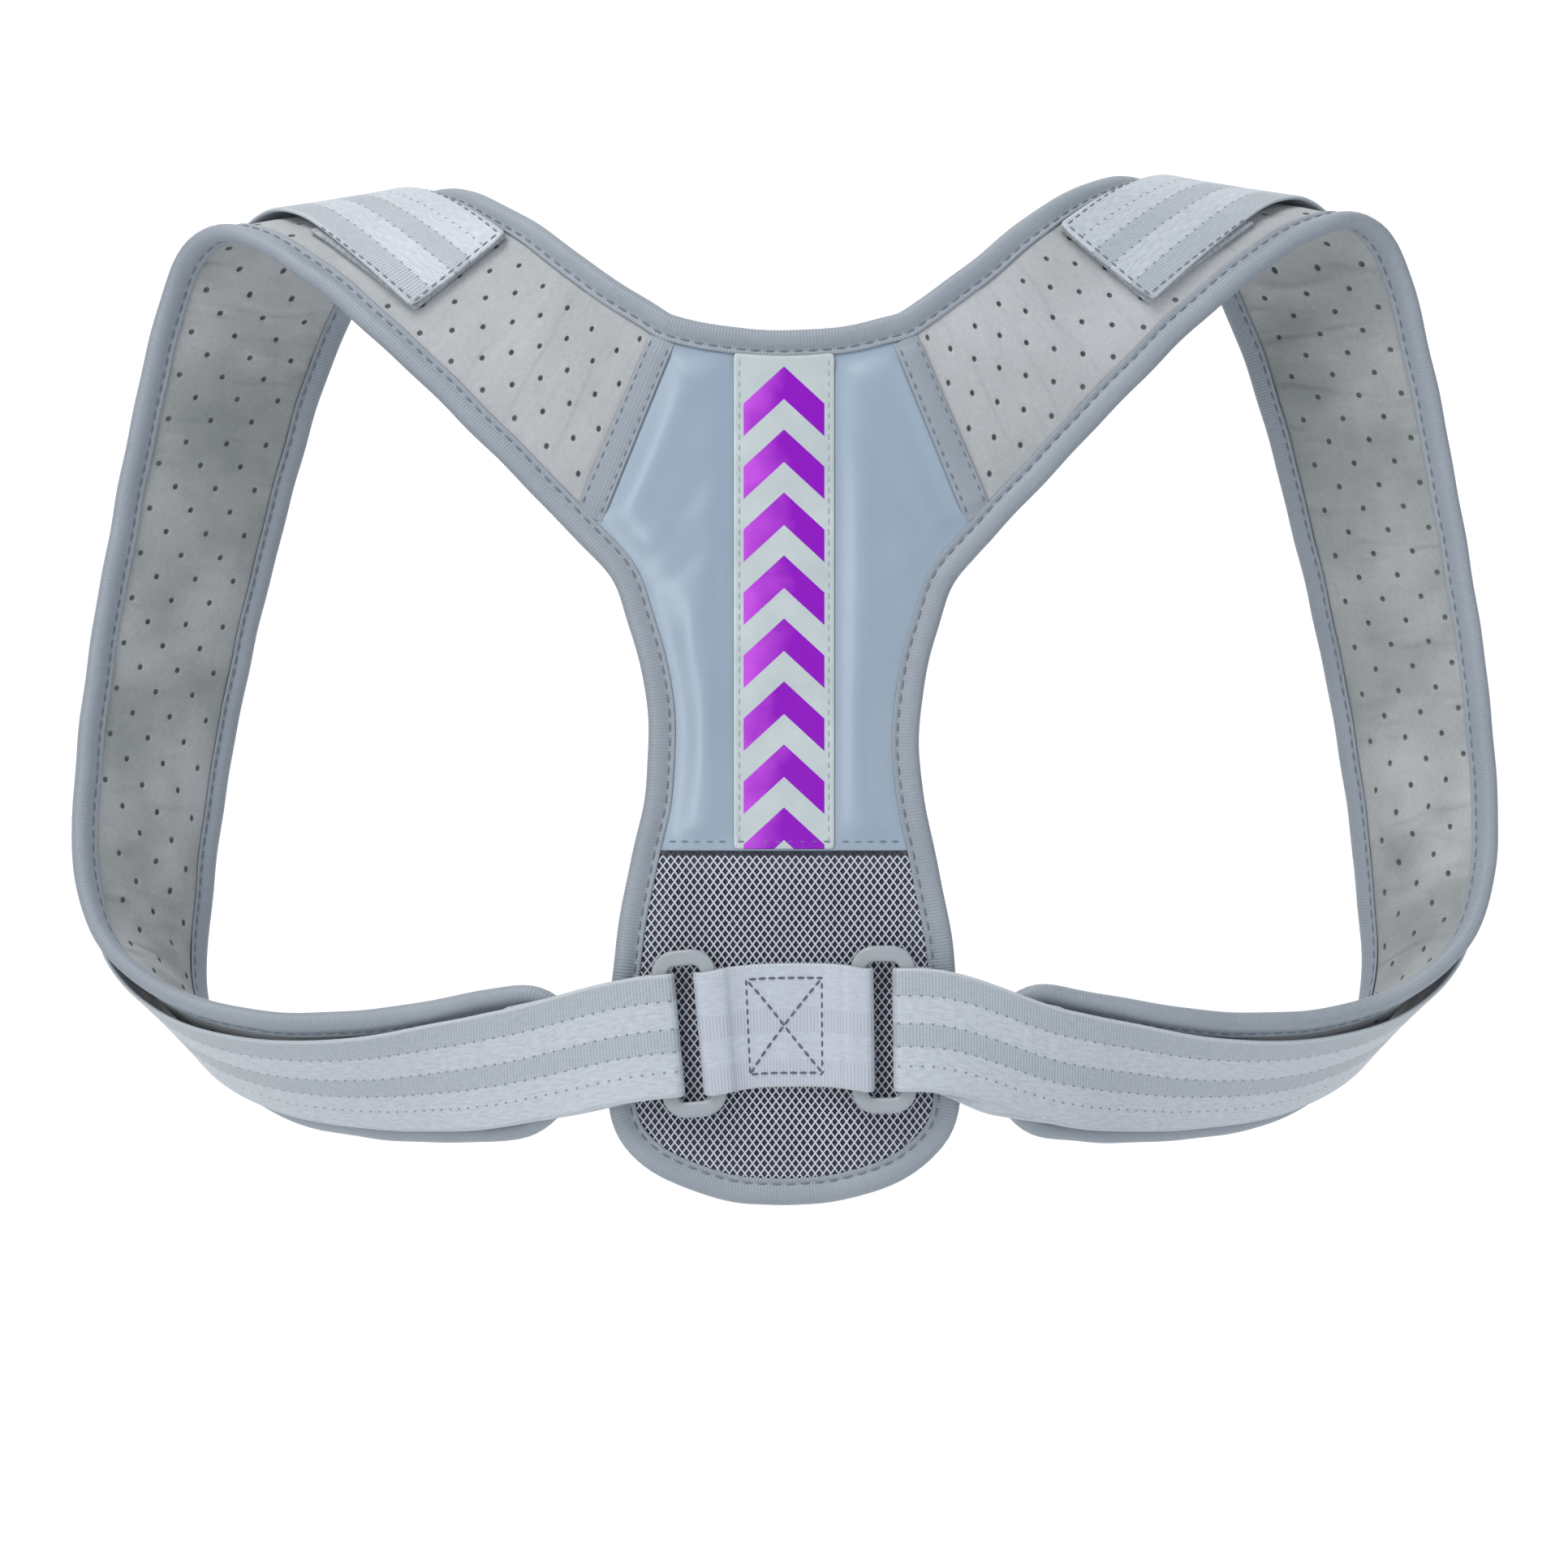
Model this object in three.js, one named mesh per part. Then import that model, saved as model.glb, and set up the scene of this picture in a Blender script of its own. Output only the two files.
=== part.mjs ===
// A posture corrector in the form it has when worn, seen from behind by its Y-shaped back panel.
// Two padded wings leave the panel at slanted seams, climb over the shoulders, hang down in front
// and curl back under the arms to rounded tips. A strap on each wing is sewn to the tip, runs
// through a loop buckle on the panel's foot, turns back, follows the wing's outer face and ends in
// a hook-backed tab on top of the shoulder.
//
// +X is the wearer's right, +Y points to the wearer's front, +Z is up. The origin is on the body
// side of the back panel, on its centreline, at the waist where it is narrowest.
import * as THREE from "three";
import { mergeVertices } from "three/addons/utils/BufferGeometryUtils.js";

// Overall sizes of the worn form, in millimetres
const SPAN = 449; // across both wings, between the armhole edges
const DEPTH = 84; // from the back panel to the front of the wings
const HEIGHT = 318; // from the panel's foot to the crest of the shoulders

// Back panel: widths over the binding, heights from the waist
const WAIST_WIDTH = 83.4;
const FOOT_WIDTH = 108;
const FOOT_DROP = 112; // waist down to where the foot starts to round
const FOOT_ROUND = 30.5; // depth of the rounded foot
const SHOULDER_WIDTH = 126.6; // between the lower ends of the two seams
const SHOULDER_RISE = 62;
const NECK_WIDTH = 69.4; // between the upper ends of the two seams
const NECK_RISE = 131.7;
const NECK_DIP = 5; // how far the neck edge sags between its ends
const HEM_DROP = 33; // waist down to the hem between the smooth yoke and the mesh
const PANEL_BOW = 2; // how far the panel's edges bend to the front

// Thicknesses and widths of the sewn layers
const PAD = 4;
const BINDING_WIDTH = 8.5;
const BINDING_THICKNESS = 5.5;
const TAPE_WIDTH = 9.5;
const TAPE_THICKNESS = 0.6;
const STRIP_WIDTH = 31;
const STRIP_THICKNESS = 0.6;
const WEBBING_WIDTH = 38;
const WEBBING_THICKNESS = 1.4;
const HOOK_THICKNESS = 1.5;
const HOOK_LENGTH = 50;
const TAB_START = 88; // from the seam to the tab's free end, along the armhole edge
const TAB_SHIFT = 2.5; // of the tab from the wing's middle to its neck edge
const TIP_RADIUS = 21;
const TIP_CLEARANCE = 8.5; // between the panel's foot and a wing's tip
const SEWN_LENGTH = 26; // of the strap's end that is sewn to the tip
const STRAP_SLACK = 1.6; // how far the strap stands off the wing where it hangs loosest
const GAP = 0.3; // between pieces that touch
const EDGE_GAP = 0.5; // between a binding and what bends differently round a corner beside it

// Loop buckles
const BUCKLE_WIDTH = 20;
const BUCKLE_HEIGHT = 52;
const BUCKLE_THICKNESS = 3;
const BUCKLE_BAR = 5; // width of the two long bars that the webbing turns round
const BUCKLE_END = 5.5; // width of the top and bottom ends
const BUCKLE_CORNER = 5;
const BUCKLE_BEVEL = 0.8;
const BUCKLE_OUT = 29; // buckle centre from the centreline
const BUCKLE_DROP = 89; // buckle centre below the waist
const LINK_ARCH = 2.5; // rise of the middle of the webbing that joins the buckles
const LINK_SEWN = 22; // width of its middle, stitched flat to the mesh

// The two sides. The right shoulder sits higher (lift) and further out (reach), and so does the
// right buckle (raise, shift). lean is how many degrees a buckle's top leans outwards.
const SIDES = [
  { name: "left", sign: -1, lift: 0, reach: 0, raise: 0, shift: 0, lean: 5.3 },
  { name: "right", sign: 1, lift: 4, reach: 2, raise: 1.2, shift: 1.4, lean: -0.7 },
];

// Side edge of the panel below the waist. drop is a share of FOOT_DROP,
// flare a share of the way from the waist's half width to the foot's.
const LOWER_EDGE = [
  { drop: 0.13, flare: 0.08 },
  { drop: 0.28, flare: 0.35 },
  { drop: 0.46, flare: 0.7 },
  { drop: 0.66, flare: 0.93 },
  { drop: 0.85, flare: 1 },
  { drop: 1, flare: 1 },
];

// The same edge above the waist, as shares of SHOULDER_RISE and of the way to the seam's half width
const UPPER_EDGE = [
  { rise: 1, flare: 1 },
  { rise: 0.79, flare: 0.49 },
  { rise: 0.58, flare: 0.28 },
  { rise: 0.26, flare: 0.05 },
  { rise: 0, flare: 0 },
];

// Sections across a wing from the first one past the seam to the tip. out is a share of the way
// from the tip's distance from the centreline to half the span, front a share of DEPTH, up a share
// of HEIGHT, first for the armhole edge and then for the neck edge.
const WING_SECTIONS = [
  { out: 0.2, front: 0.04, up: 0.296, neckOut: -0.033, neckFront: 0.05, neckUp: 0.462 },
  { out: 0.385, front: 0.095, up: 0.387, neckOut: 0.093, neckFront: 0.18, neckUp: 0.512 },
  { out: 0.539, front: 0.155, up: 0.455, neckOut: 0.194, neckFront: 0.32, neckUp: 0.543 },
  { out: 0.655, front: 0.225, up: 0.494, neckOut: 0.266, neckFront: 0.475, neckUp: 0.556 },
  { out: 0.739, front: 0.3, up: 0.508, neckOut: 0.342, neckFront: 0.63, neckUp: 0.549 },
  { out: 0.796, front: 0.357, up: 0.495, neckOut: 0.417, neckFront: 0.775, neckUp: 0.518 },
  { out: 0.836, front: 0.405, up: 0.461, neckOut: 0.493, neckFront: 0.87, neckUp: 0.461 },
  { out: 0.892, front: 0.44, up: 0.358, neckOut: 0.572, neckFront: 0.917, neckUp: 0.368 },
  { out: 0.944, front: 0.452, up: 0.227, neckOut: 0.653, neckFront: 0.964, neckUp: 0.231 },
  { out: 0.987, front: 0.44, up: 0.096, neckOut: 0.724, neckFront: 0.988, neckUp: 0.09 },
  { out: 1.01, front: 0.417, up: -0.019, neckOut: 0.772, neckFront: 0.976, neckUp: -0.039 },
  { out: 1.01, front: 0.38, up: -0.117, neckOut: 0.801, neckFront: 0.952, neckUp: -0.159 },
  { out: 0.962, front: 0.333, up: -0.189, neckOut: 0.809, neckFront: 0.905, neckUp: -0.259 },
  { out: 0.84, front: 0.274, up: -0.239, neckOut: 0.753, neckFront: 0.8, neckUp: -0.332 },
  { out: 0.656, front: 0.202, up: -0.265, neckOut: 0.607, neckFront: 0.655, neckUp: -0.382 },
  { out: 0.442, front: 0.12, up: -0.264, neckOut: 0.419, neckFront: 0.476, neckUp: -0.397 },
  { out: 0.248, front: 0.05, up: -0.247, neckOut: 0.239, neckFront: 0.25, neckUp: -0.395 },
  { out: 0.09, front: 0, up: -0.231, neckOut: 0.09, neckFront: 0.08, neckUp: -0.385 },
  { out: 0, front: -0.02, up: -0.224, neckOut: 0, neckFront: -0.01, neckUp: -0.375 },
];

const LIFTED_ROWS = 13; // of the sections above, those that a side's lift and reach move

// How loosely the strap lies on the wing: along is a share of the armhole edge's length,
// slack a share of STRAP_SLACK.
const SLACK_SECTIONS = [
  { along: 0, slack: 0 },
  { along: 0.2, slack: 0 },
  { along: 0.27, slack: 0.3 },
  { along: 0.36, slack: 0 },
  { along: 0.62, slack: 0 },
  { along: 0.71, slack: 1 },
  { along: 0.76, slack: 0.8 },
  { along: 0.84, slack: 0 },
  { along: 1, slack: 0 },
];

// How finely curves are divided
const STEPS_PER_SECTION = 3;
const TIP_STEPS = 4;
const EDGE_STEPS = 34;
const SEAM_STEPS = 6;
const TURN_STEPS = 6;
const FREE_STEPS = 5;
const SEWN_STEPS = 3;
const PAD_COLUMNS = 4;
const NECK_STEPS = 12;

const fabric = new THREE.MeshStandardMaterial({ color: 0xb4b8ba, roughness: 0.95 });
const smoothFabric = new THREE.MeshStandardMaterial({ color: 0x93a5b6, roughness: 0.35 });
const meshFabric = new THREE.MeshStandardMaterial({ color: 0x8a8a96, roughness: 0.9 });
const bindingFabric = new THREE.MeshStandardMaterial({ color: 0x9aa5ae, roughness: 0.8 });
const reflective = new THREE.MeshStandardMaterial({ color: 0xcdd8da, roughness: 0.3 });
const webbing = new THREE.MeshStandardMaterial({ color: 0xb3bbc4, roughness: 0.55 });
const hookTape = new THREE.MeshStandardMaterial({ color: 0x9fa6ac, roughness: 0.95 });
const plastic = new THREE.MeshStandardMaterial({ color: 0x9ca7ae, roughness: 0.45 });

const part = new THREE.Group();

// Heights above the middle of a pad
const padFace = PAD / 2;
const onPad = padFace + GAP;
const bindingInset = BINDING_WIDTH + EDGE_GAP; // from an edge to where its pad starts
const onBinding = BINDING_THICKNESS / 2 + EDGE_GAP + WEBBING_THICKNESS / 2;
const onHook = onPad + HOOK_THICKNESS + GAP + WEBBING_THICKNESS / 2;
const webbingPitch = WEBBING_THICKNESS + GAP; // from one layer of webbing to the next
const turnRadius = BUCKLE_THICKNESS / 2 + GAP + WEBBING_THICKNESS / 2;

// Turns a geometry whose vertices were moved into one closed surface that faces out.
function closed(geometry) {
  geometry.deleteAttribute("normal");
  geometry.deleteAttribute("uv");
  const merged = mergeVertices(geometry, 1e-3);
  const position = merged.getAttribute("position");
  const index = merged.index.array;
  const [a, b, c] = [new THREE.Vector3(), new THREE.Vector3(), new THREE.Vector3()];
  let volume = 0;
  for (let i = 0; i < index.length; i += 3) {
    a.fromBufferAttribute(position, index[i]);
    b.fromBufferAttribute(position, index[i + 1]);
    c.fromBufferAttribute(position, index[i + 2]);
    volume += a.dot(b.cross(c));
  }
  if (volume < 0) {
    for (let i = 0; i < index.length; i += 3) {
      [index[i + 1], index[i + 2]] = [index[i + 2], index[i + 1]];
    }
  }
  merged.computeVertexNormals();
  return merged;
}

// Moves every vertex of a geometry to where place(point) says.
function bent(geometry, place) {
  const position = geometry.getAttribute("position");
  const point = new THREE.Vector3();
  for (let i = 0; i < position.count; i += 1) {
    point.fromBufferAttribute(position, i);
    const moved = place(point);
    position.setXYZ(i, moved.x, moved.y, moved.z);
  }
  return closed(geometry);
}

// A flat sheet bent to shape: place(row, across, height) takes a row number,
// a share from -1 to 1 across the sheet, and a height from low to high.
function sheet(rows, columns, low, high, place) {
  const box = new THREE.BoxGeometry(rows, 2, high - low, rows, columns, 1);
  return bent(box, (p) => place(Math.round(p.x + rows / 2), p.y, p.z + (low + high) / 2));
}

// A bar of the given six-sided section along a path of { point, out, along }.
function bar(path, width, thickness) {
  const around = new THREE.CylinderGeometry(1, 1, path.length - 1, 6, path.length - 1);
  return bent(around, (p) => {
    const { point, out, along } = path[Math.round(p.y + (path.length - 1) / 2)];
    const radius = Math.hypot(p.x, p.z);
    const angle = Math.atan2(p.x, p.z);
    const side = new THREE.Vector3().crossVectors(out, along).normalize();
    const normal = new THREE.Vector3().crossVectors(along, side).normalize();
    const flat = Math.sin(Math.PI / 3);
    return point
      .clone()
      .addScaledVector(side, (radius * Math.cos(angle) * width) / 2)
      .addScaledVector(normal, (radius * Math.sin(angle) * thickness) / 2 / flat);
  });
}

function add(name, geometry, material) {
  const mesh = new THREE.Mesh(geometry, material);
  mesh.name = name;
  part.add(mesh);
}

function smooth(share) {
  const s = THREE.MathUtils.clamp(share, 0, 1);
  return s * s * (3 - 2 * s);
}

// A point of the back panel, height measured outwards from the middle of its pad
function panelPoint(x, z, height) {
  const bow = PANEL_BOW * (x / (FOOT_WIDTH / 2)) ** 2;
  return new THREE.Vector3(x, bow - PAD / 2 - height, z);
}

// The panel's right edge from the seam down to the middle of the foot
const rightEdge = new THREE.CatmullRomCurve3([
  ...UPPER_EDGE.map(({ rise, flare }) => {
    const half = THREE.MathUtils.lerp(WAIST_WIDTH, SHOULDER_WIDTH, flare) / 2;
    return new THREE.Vector3(half, 0, rise * SHOULDER_RISE);
  }),
  ...LOWER_EDGE.map(({ drop, flare }) => {
    const half = THREE.MathUtils.lerp(WAIST_WIDTH, FOOT_WIDTH, flare) / 2;
    return new THREE.Vector3(half, 0, -drop * FOOT_DROP);
  }),
  ...[18, 36, 54, 72, 90].map((degrees) => {
    const turn = THREE.MathUtils.degToRad(degrees);
    const half = (FOOT_WIDTH / 2) * Math.cos(turn);
    return new THREE.Vector3(half, 0, -FOOT_DROP - FOOT_ROUND * Math.sin(turn));
  }),
]);

// The same edge moved inwards
function insetEdge(share, inset) {
  const point = rightEdge.getPointAt(share);
  const tangent = rightEdge.getTangentAt(share);
  return new THREE.Vector3(point.x + tangent.z * inset, 0, point.z - tangent.x * inset);
}

// Half widths of the panel inside an inset, at its edge's divisions between two heights
function panelRows(inset, top, bottom) {
  const edge = [];
  for (let i = 0; i <= EDGE_STEPS; i += 1) edge.push(insetEdge(i / EDGE_STEPS, inset));
  const halfAt = (z) => {
    const i = Math.max(edge.findIndex((p) => p.z <= z), 1);
    return THREE.MathUtils.mapLinear(z, edge[i - 1].z, edge[i].z, edge[i - 1].x, edge[i].x);
  };
  const inside = edge.filter((p) => p.z < top - 1 && p.z > bottom + 1);
  return [top, ...inside.map((p) => p.z), bottom].map((z) => ({ half: halfAt(z), z, dip: 0 }));
}

// Height of the neck edge above the waist
function neckEdge(x, inset) {
  const share = Math.min(Math.abs(x) / (NECK_WIDTH / 2), 1);
  return NECK_RISE - NECK_DIP * (1 - share ** 2) - inset;
}

// A wing is a band between its armhole edge and its neck edge. Distances along it are measured
// on the armhole edge from the seam, and lateral distances from its middle to the neck edge.
function makeWing(side) {
  const tipOut = FOOT_WIDTH / 2 + TIP_CLEARANCE;
  const place = (out, front, up, row) => {
    const lifted = smooth(row / 2) * (1 - smooth((row - LIFTED_ROWS / 2) / (LIFTED_ROWS / 2)));
    const reached = Math.sin(Math.PI * Math.min(row / LIFTED_ROWS, 1));
    const x = THREE.MathUtils.lerp(tipOut, SPAN / 2, out) + side.reach * reached;
    return new THREE.Vector3(side.sign * x, front * DEPTH, up * HEIGHT + side.lift * lifted);
  };
  const armhole = new THREE.CatmullRomCurve3([
    panelPoint((side.sign * SHOULDER_WIDTH) / 2, SHOULDER_RISE, 0),
    ...WING_SECTIONS.map((s, i) => place(s.out, s.front, s.up, i + 1)),
  ]);
  const neck = new THREE.CatmullRomCurve3([
    panelPoint((side.sign * NECK_WIDTH) / 2, NECK_RISE, 0),
    ...WING_SECTIONS.map((s, i) => place(s.neckOut, s.neckFront, s.neckUp, i + 1)),
  ]);
  const marks = armhole.getLengths(WING_SECTIONS.length * STEPS_PER_SECTION);
  const length = marks[marks.length - 1];

  // Directions of the band at a distance and a lateral distance
  function frame(distance, lateral) {
    const t = distance > 0 ? armhole.getUtoTmapping(0, Math.min(distance, length)) : 0;
    const step = 1e-3;
    const [from, to] = [Math.max(t - step, 0), Math.min(t + step, 1)];
    const across = neck.getPoint(t).sub(armhole.getPoint(t));
    const middle = (at) => armhole.getPoint(at).lerp(neck.getPoint(at), 0.5);
    const middleAlong = middle(to).sub(middle(from)).normalize();
    const width = new THREE.Vector3().crossVectors(across, middleAlong).length();
    const share = 0.5 + lateral / width;
    const at = (s) => armhole.getPoint(s).lerp(neck.getPoint(s), share);
    const along = at(to).sub(at(from)).normalize();
    const out = new THREE.Vector3().crossVectors(along, across).multiplyScalar(side.sign).normalize();
    return { point: at(t), along, across: across.normalize(), out, width };
  }

  function point(distance, lateral, height) {
    const f = frame(distance, lateral);
    return f.point.addScaledVector(f.out, height);
  }

  // Half the width left inside an inset, rounded at the tip
  function half(distance, inset) {
    const past = Math.max(distance - (length - TIP_RADIUS), 0);
    const corner = TIP_RADIUS - inset;
    const left = Math.sqrt(Math.max(corner ** 2 - past ** 2, 0));
    return frame(distance, 0).width / 2 - TIP_RADIUS + left;
  }

  // Distances at which the band is divided, from start to the tip less an inset
  function rows(start, inset) {
    const corner = TIP_RADIUS - inset;
    const straight = marks.filter((m) => m > start + 1 && m < length - TIP_RADIUS - 1);
    const tip = [];
    for (let i = 0; i <= TIP_STEPS; i += 1) {
      tip.push(length - TIP_RADIUS + corner * Math.sin((i / TIP_STEPS) * (Math.PI / 2)));
    }
    return [start, ...straight, ...tip];
  }

  return { side, marks, length, frame, point, half, rows };
}

// The bound edge of the whole brace is one loop: panel, left wing, neck, right wing. Each stretch
// lies half a binding inside the edge, and its ends meet its neighbours' at the seams.
function boundEdge(wings) {
  const inset = BINDING_WIDTH / 2;
  const [left, right] = wings;

  function wingStretch(wing) {
    const rows = wing.rows(0, inset);
    const at = (distance, sign) => {
      const f = wing.frame(distance, sign * wing.half(distance, inset));
      return { point: f.point, out: f.out };
    };
    return [...rows.map((d) => at(d, -1)), ...rows.reverse().map((d) => at(d, 1))];
  }

  const leftStretch = wingStretch(left);
  const rightStretch = wingStretch(right).reverse();
  const back = new THREE.Vector3(0, -1, 0);
  const half = [];
  for (let i = 1; i <= EDGE_STEPS; i += 1) {
    half.push(insetEdge(i / EDGE_STEPS, inset));
  }
  const panelStretch = [
    rightStretch[rightStretch.length - 1],
    ...half.map((p) => ({ point: panelPoint(p.x, p.z, 0), out: back })),
    ...half.reverse().slice(1).map((p) => ({ point: panelPoint(-p.x, p.z, 0), out: back })),
    leftStretch[0],
  ];
  const neckStretch = [leftStretch[leftStretch.length - 1]];
  for (let i = 1; i < NECK_STEPS; i += 1) {
    const x = THREE.MathUtils.lerp(-NECK_WIDTH / 2, NECK_WIDTH / 2, i / NECK_STEPS);
    neckStretch.push({ point: panelPoint(x, neckEdge(x, inset), 0), out: back });
  }
  neckStretch.push(rightStretch[0]);

  const stretches = [
    { name: "panel_binding", points: panelStretch },
    { name: "left_wing_binding", points: leftStretch },
    { name: "neck_binding", points: neckStretch },
    { name: "right_wing_binding", points: rightStretch },
  ];
  const ends = (i) => stretches[(i + stretches.length) % stretches.length].points;
  return stretches.map(({ name, points }, i) => {
    const before = ends(i - 1)[ends(i - 1).length - 2];
    const after = ends(i + 1)[1];
    const ring = [before, ...points, after];
    const path = points.map((p, k) => {
      const along = ring[k + 2].point.clone().sub(ring[k].point).normalize();
      return { point: p.point.clone(), out: p.out, along };
    });
    path[0].point.addScaledVector(path[0].along, GAP / 2);
    path[path.length - 1].point.addScaledVector(path[path.length - 1].along, -GAP / 2);
    return { name, path };
  });
}

// The smooth upper part of the panel, from the hem up between the seams to the neck
function yokePanel(wings) {
  const wing = wings[1];
  const seam = [];
  for (let i = 0; i <= SEAM_STEPS; i += 1) {
    const reach = wing.half(0, bindingInset);
    const f = wing.frame(0, THREE.MathUtils.lerp(-reach, reach, i / SEAM_STEPS));
    const inwards = new THREE.Vector3().crossVectors(f.across, f.out).normalize();
    const p = f.point.addScaledVector(inwards, -GAP);
    seam.push({ half: Math.abs(p.x), z: p.z, dip: i / SEAM_STEPS });
  }
  const below = panelRows(bindingInset, seam[0].z - 2, -HEM_DROP + GAP / 2).reverse();
  const all = [...below, ...seam];
  const fall = seam[SEAM_STEPS].z - neckEdge(0, bindingInset);
  return sheet(all.length - 1, 6, -padFace, padFace, (row, across, height) => {
    const { half, z, dip } = all[row];
    return panelPoint(across * half, z - fall * dip * (1 - across ** 2), height);
  });
}

// The mesh foot of the panel, from the hem down to the rounded end
function meshPanel() {
  const lowest = insetEdge(1, bindingInset).z + 1;
  const rows = panelRows(bindingInset, -HEM_DROP - GAP / 2, lowest);
  return sheet(rows.length - 1, 6, -padFace, padFace, (row, across, height) => {
    return panelPoint(across * rows[row].half, rows[row].z, height);
  });
}

// The reflective strip down the middle of the yoke
function reflectiveStrip() {
  const rows = 8;
  return sheet(rows, 2, onPad, onPad + STRIP_THICKNESS, (row, across, height) => {
    const x = (across * STRIP_WIDTH) / 2;
    const z = THREE.MathUtils.lerp(-HEM_DROP + GAP / 2, neckEdge(x, bindingInset), row / rows);
    return panelPoint(x, z, height);
  });
}

function wingPad(wing) {
  const rows = wing.rows(GAP, bindingInset);
  return sheet(rows.length - 1, PAD_COLUMNS, -padFace, padFace, (row, across, height) => {
    return wing.point(rows[row], across * wing.half(rows[row], bindingInset), height);
  });
}

// The tape over a seam: one edge lies on the panel, the other on the wing
function seamTape(wing) {
  const reach = wing.half(0, bindingInset);
  return sheet(SEAM_STEPS * 2, 2, onPad, onPad + TAPE_THICKNESS, (row, across, height) => {
    const lateral = THREE.MathUtils.lerp(-reach, reach, row / (SEAM_STEPS * 2));
    if (across >= 0) return wing.point((across * TAPE_WIDTH) / 2, lateral, height);
    const seam = wing.frame(0, lateral);
    const outwards = new THREE.Vector3().crossVectors(seam.across, seam.out).normalize();
    outwards.multiplyScalar(wing.side.sign);
    const p = seam.point.addScaledVector(outwards, (across * TAPE_WIDTH) / 2);
    return panelPoint(p.x, p.z, height);
  });
}

// How far the strap lies off the wing's middle, towards the neck edge
function strapShift(wing, distance) {
  return TAB_SHIFT * (1 - smooth((distance - TAB_START) / (wing.length / 2 - TAB_START)));
}

function hookPatch(wing) {
  const inside = wing.marks.filter((m) => m > TAB_START + 1 && m < TAB_START + HOOK_LENGTH - 1);
  const rows = [TAB_START, ...inside, TAB_START + HOOK_LENGTH];
  return sheet(rows.length - 1, 2, onPad, onPad + HOOK_THICKNESS, (row, across, height) => {
    const lateral = (across * WEBBING_WIDTH) / 2 + strapShift(wing, rows[row]);
    return wing.point(rows[row], lateral, height);
  });
}

// A buckle's middle, its long direction, and the direction away from the centreline
function buckleFrame(side) {
  const lean = THREE.MathUtils.degToRad(side.lean);
  const middle = panelPoint(0, side.raise - BUCKLE_DROP, onPad + turnRadius + WEBBING_THICKNESS / 2);
  middle.x = side.sign * (BUCKLE_OUT + side.shift);
  return {
    middle,
    up: new THREE.Vector3(side.sign * Math.sin(lean), 0, Math.cos(lean)),
    outwards: new THREE.Vector3(side.sign * Math.cos(lean), 0, -Math.sin(lean)),
  };
}

function slackAt(share) {
  const next = Math.max(SLACK_SECTIONS.findIndex((s) => s.along >= share), 1);
  const [from, to] = [SLACK_SECTIONS[next - 1], SLACK_SECTIONS[next]];
  const between = smooth((share - from.along) / (to.along - from.along));
  return STRAP_SLACK * THREE.MathUtils.lerp(from.slack, to.slack, between);
}

// Sections of a strap from the tab's free end to the end sewn to the wing's tip
function strapPath(wing) {
  const { side, length } = wing;
  const lastSewn = length - 1;
  const firstSewn = lastSewn - SEWN_LENGTH;
  const path = [];
  const onWing = (distance, height, turned) => {
    const f = wing.frame(distance, strapShift(wing, distance));
    const point = f.point.addScaledVector(f.out, height);
    path.push({ point, across: f.across, out: f.out.multiplyScalar(turned ? -1 : 1) });
  };
  const height = (distance) => {
    const overHook = 1 - smooth((distance - TAB_START - HOOK_LENGTH) / HOOK_LENGTH);
    const overEnd = smooth((distance - firstSewn + SEWN_LENGTH) / SEWN_LENGTH);
    const lowest = THREE.MathUtils.lerp(onBinding, onHook, overHook);
    return lowest + webbingPitch * overEnd + slackAt(distance / length);
  };
  const inside = wing.marks.filter((m) => m > TAB_START + 1 && m < firstSewn - 1);
  [TAB_START, ...inside, firstSewn].forEach((d) => onWing(d, height(d), false));

  // From the wing to the buckle, round its outer bar and back
  const { middle, up, outwards } = buckleFrame(side);
  const back = new THREE.Vector3(0, -1, 0);
  const barMiddle = middle.clone().addScaledVector(outwards, (BUCKLE_WIDTH - BUCKLE_BAR) / 2);
  const besideBar = barMiddle.clone().addScaledVector(outwards, BUCKLE_BAR / 2);
  const free = (fromDistance, fromHeight, toHeight, turned) => {
    const start = wing.frame(fromDistance, 0);
    const p0 = start.point.clone().addScaledVector(start.out, fromHeight);
    const p3 = besideBar.clone().addScaledVector(back, toHeight);
    const reach = p0.distanceTo(p3) / 3;
    const p1 = p0.clone().addScaledVector(start.along, reach);
    const p2 = p3.clone().addScaledVector(outwards, reach);
    const run = new THREE.CubicBezierCurve3(p0, p1, p2, p3);
    const sections = [];
    for (let i = 1; i <= FREE_STEPS; i += 1) {
      const share = i / FREE_STEPS;
      const across = start.across.clone().lerp(up.clone().negate(), smooth(share)).normalize();
      const out = new THREE.Vector3().crossVectors(run.getTangent(share), across);
      out.multiplyScalar(out.y > 0 ? -1 : 1).normalize().multiplyScalar(turned ? -1 : 1);
      sections.push({ point: run.getPoint(share), across, out });
    }
    return sections;
  };
  path.push(...free(firstSewn, height(firstSewn), turnRadius, false));
  const turnMiddle = barMiddle.clone().addScaledVector(outwards, 1 - BUCKLE_BAR / 2);
  for (let i = 0; i <= TURN_STEPS; i += 1) {
    const turn = (i / TURN_STEPS) * Math.PI;
    const out = back.clone().multiplyScalar(Math.cos(turn)).addScaledVector(outwards, -Math.sin(turn));
    const point = turnMiddle.clone().addScaledVector(out, turnRadius);
    path.push({ point, across: up.clone().negate(), out });
  }
  path.push(...free(lastSewn, onBinding, -turnRadius, true).reverse());
  for (let i = 0; i <= SEWN_STEPS; i += 1) {
    onWing(THREE.MathUtils.lerp(lastSewn, firstSewn, i / SEWN_STEPS), onBinding, true);
  }
  return path;
}

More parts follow.
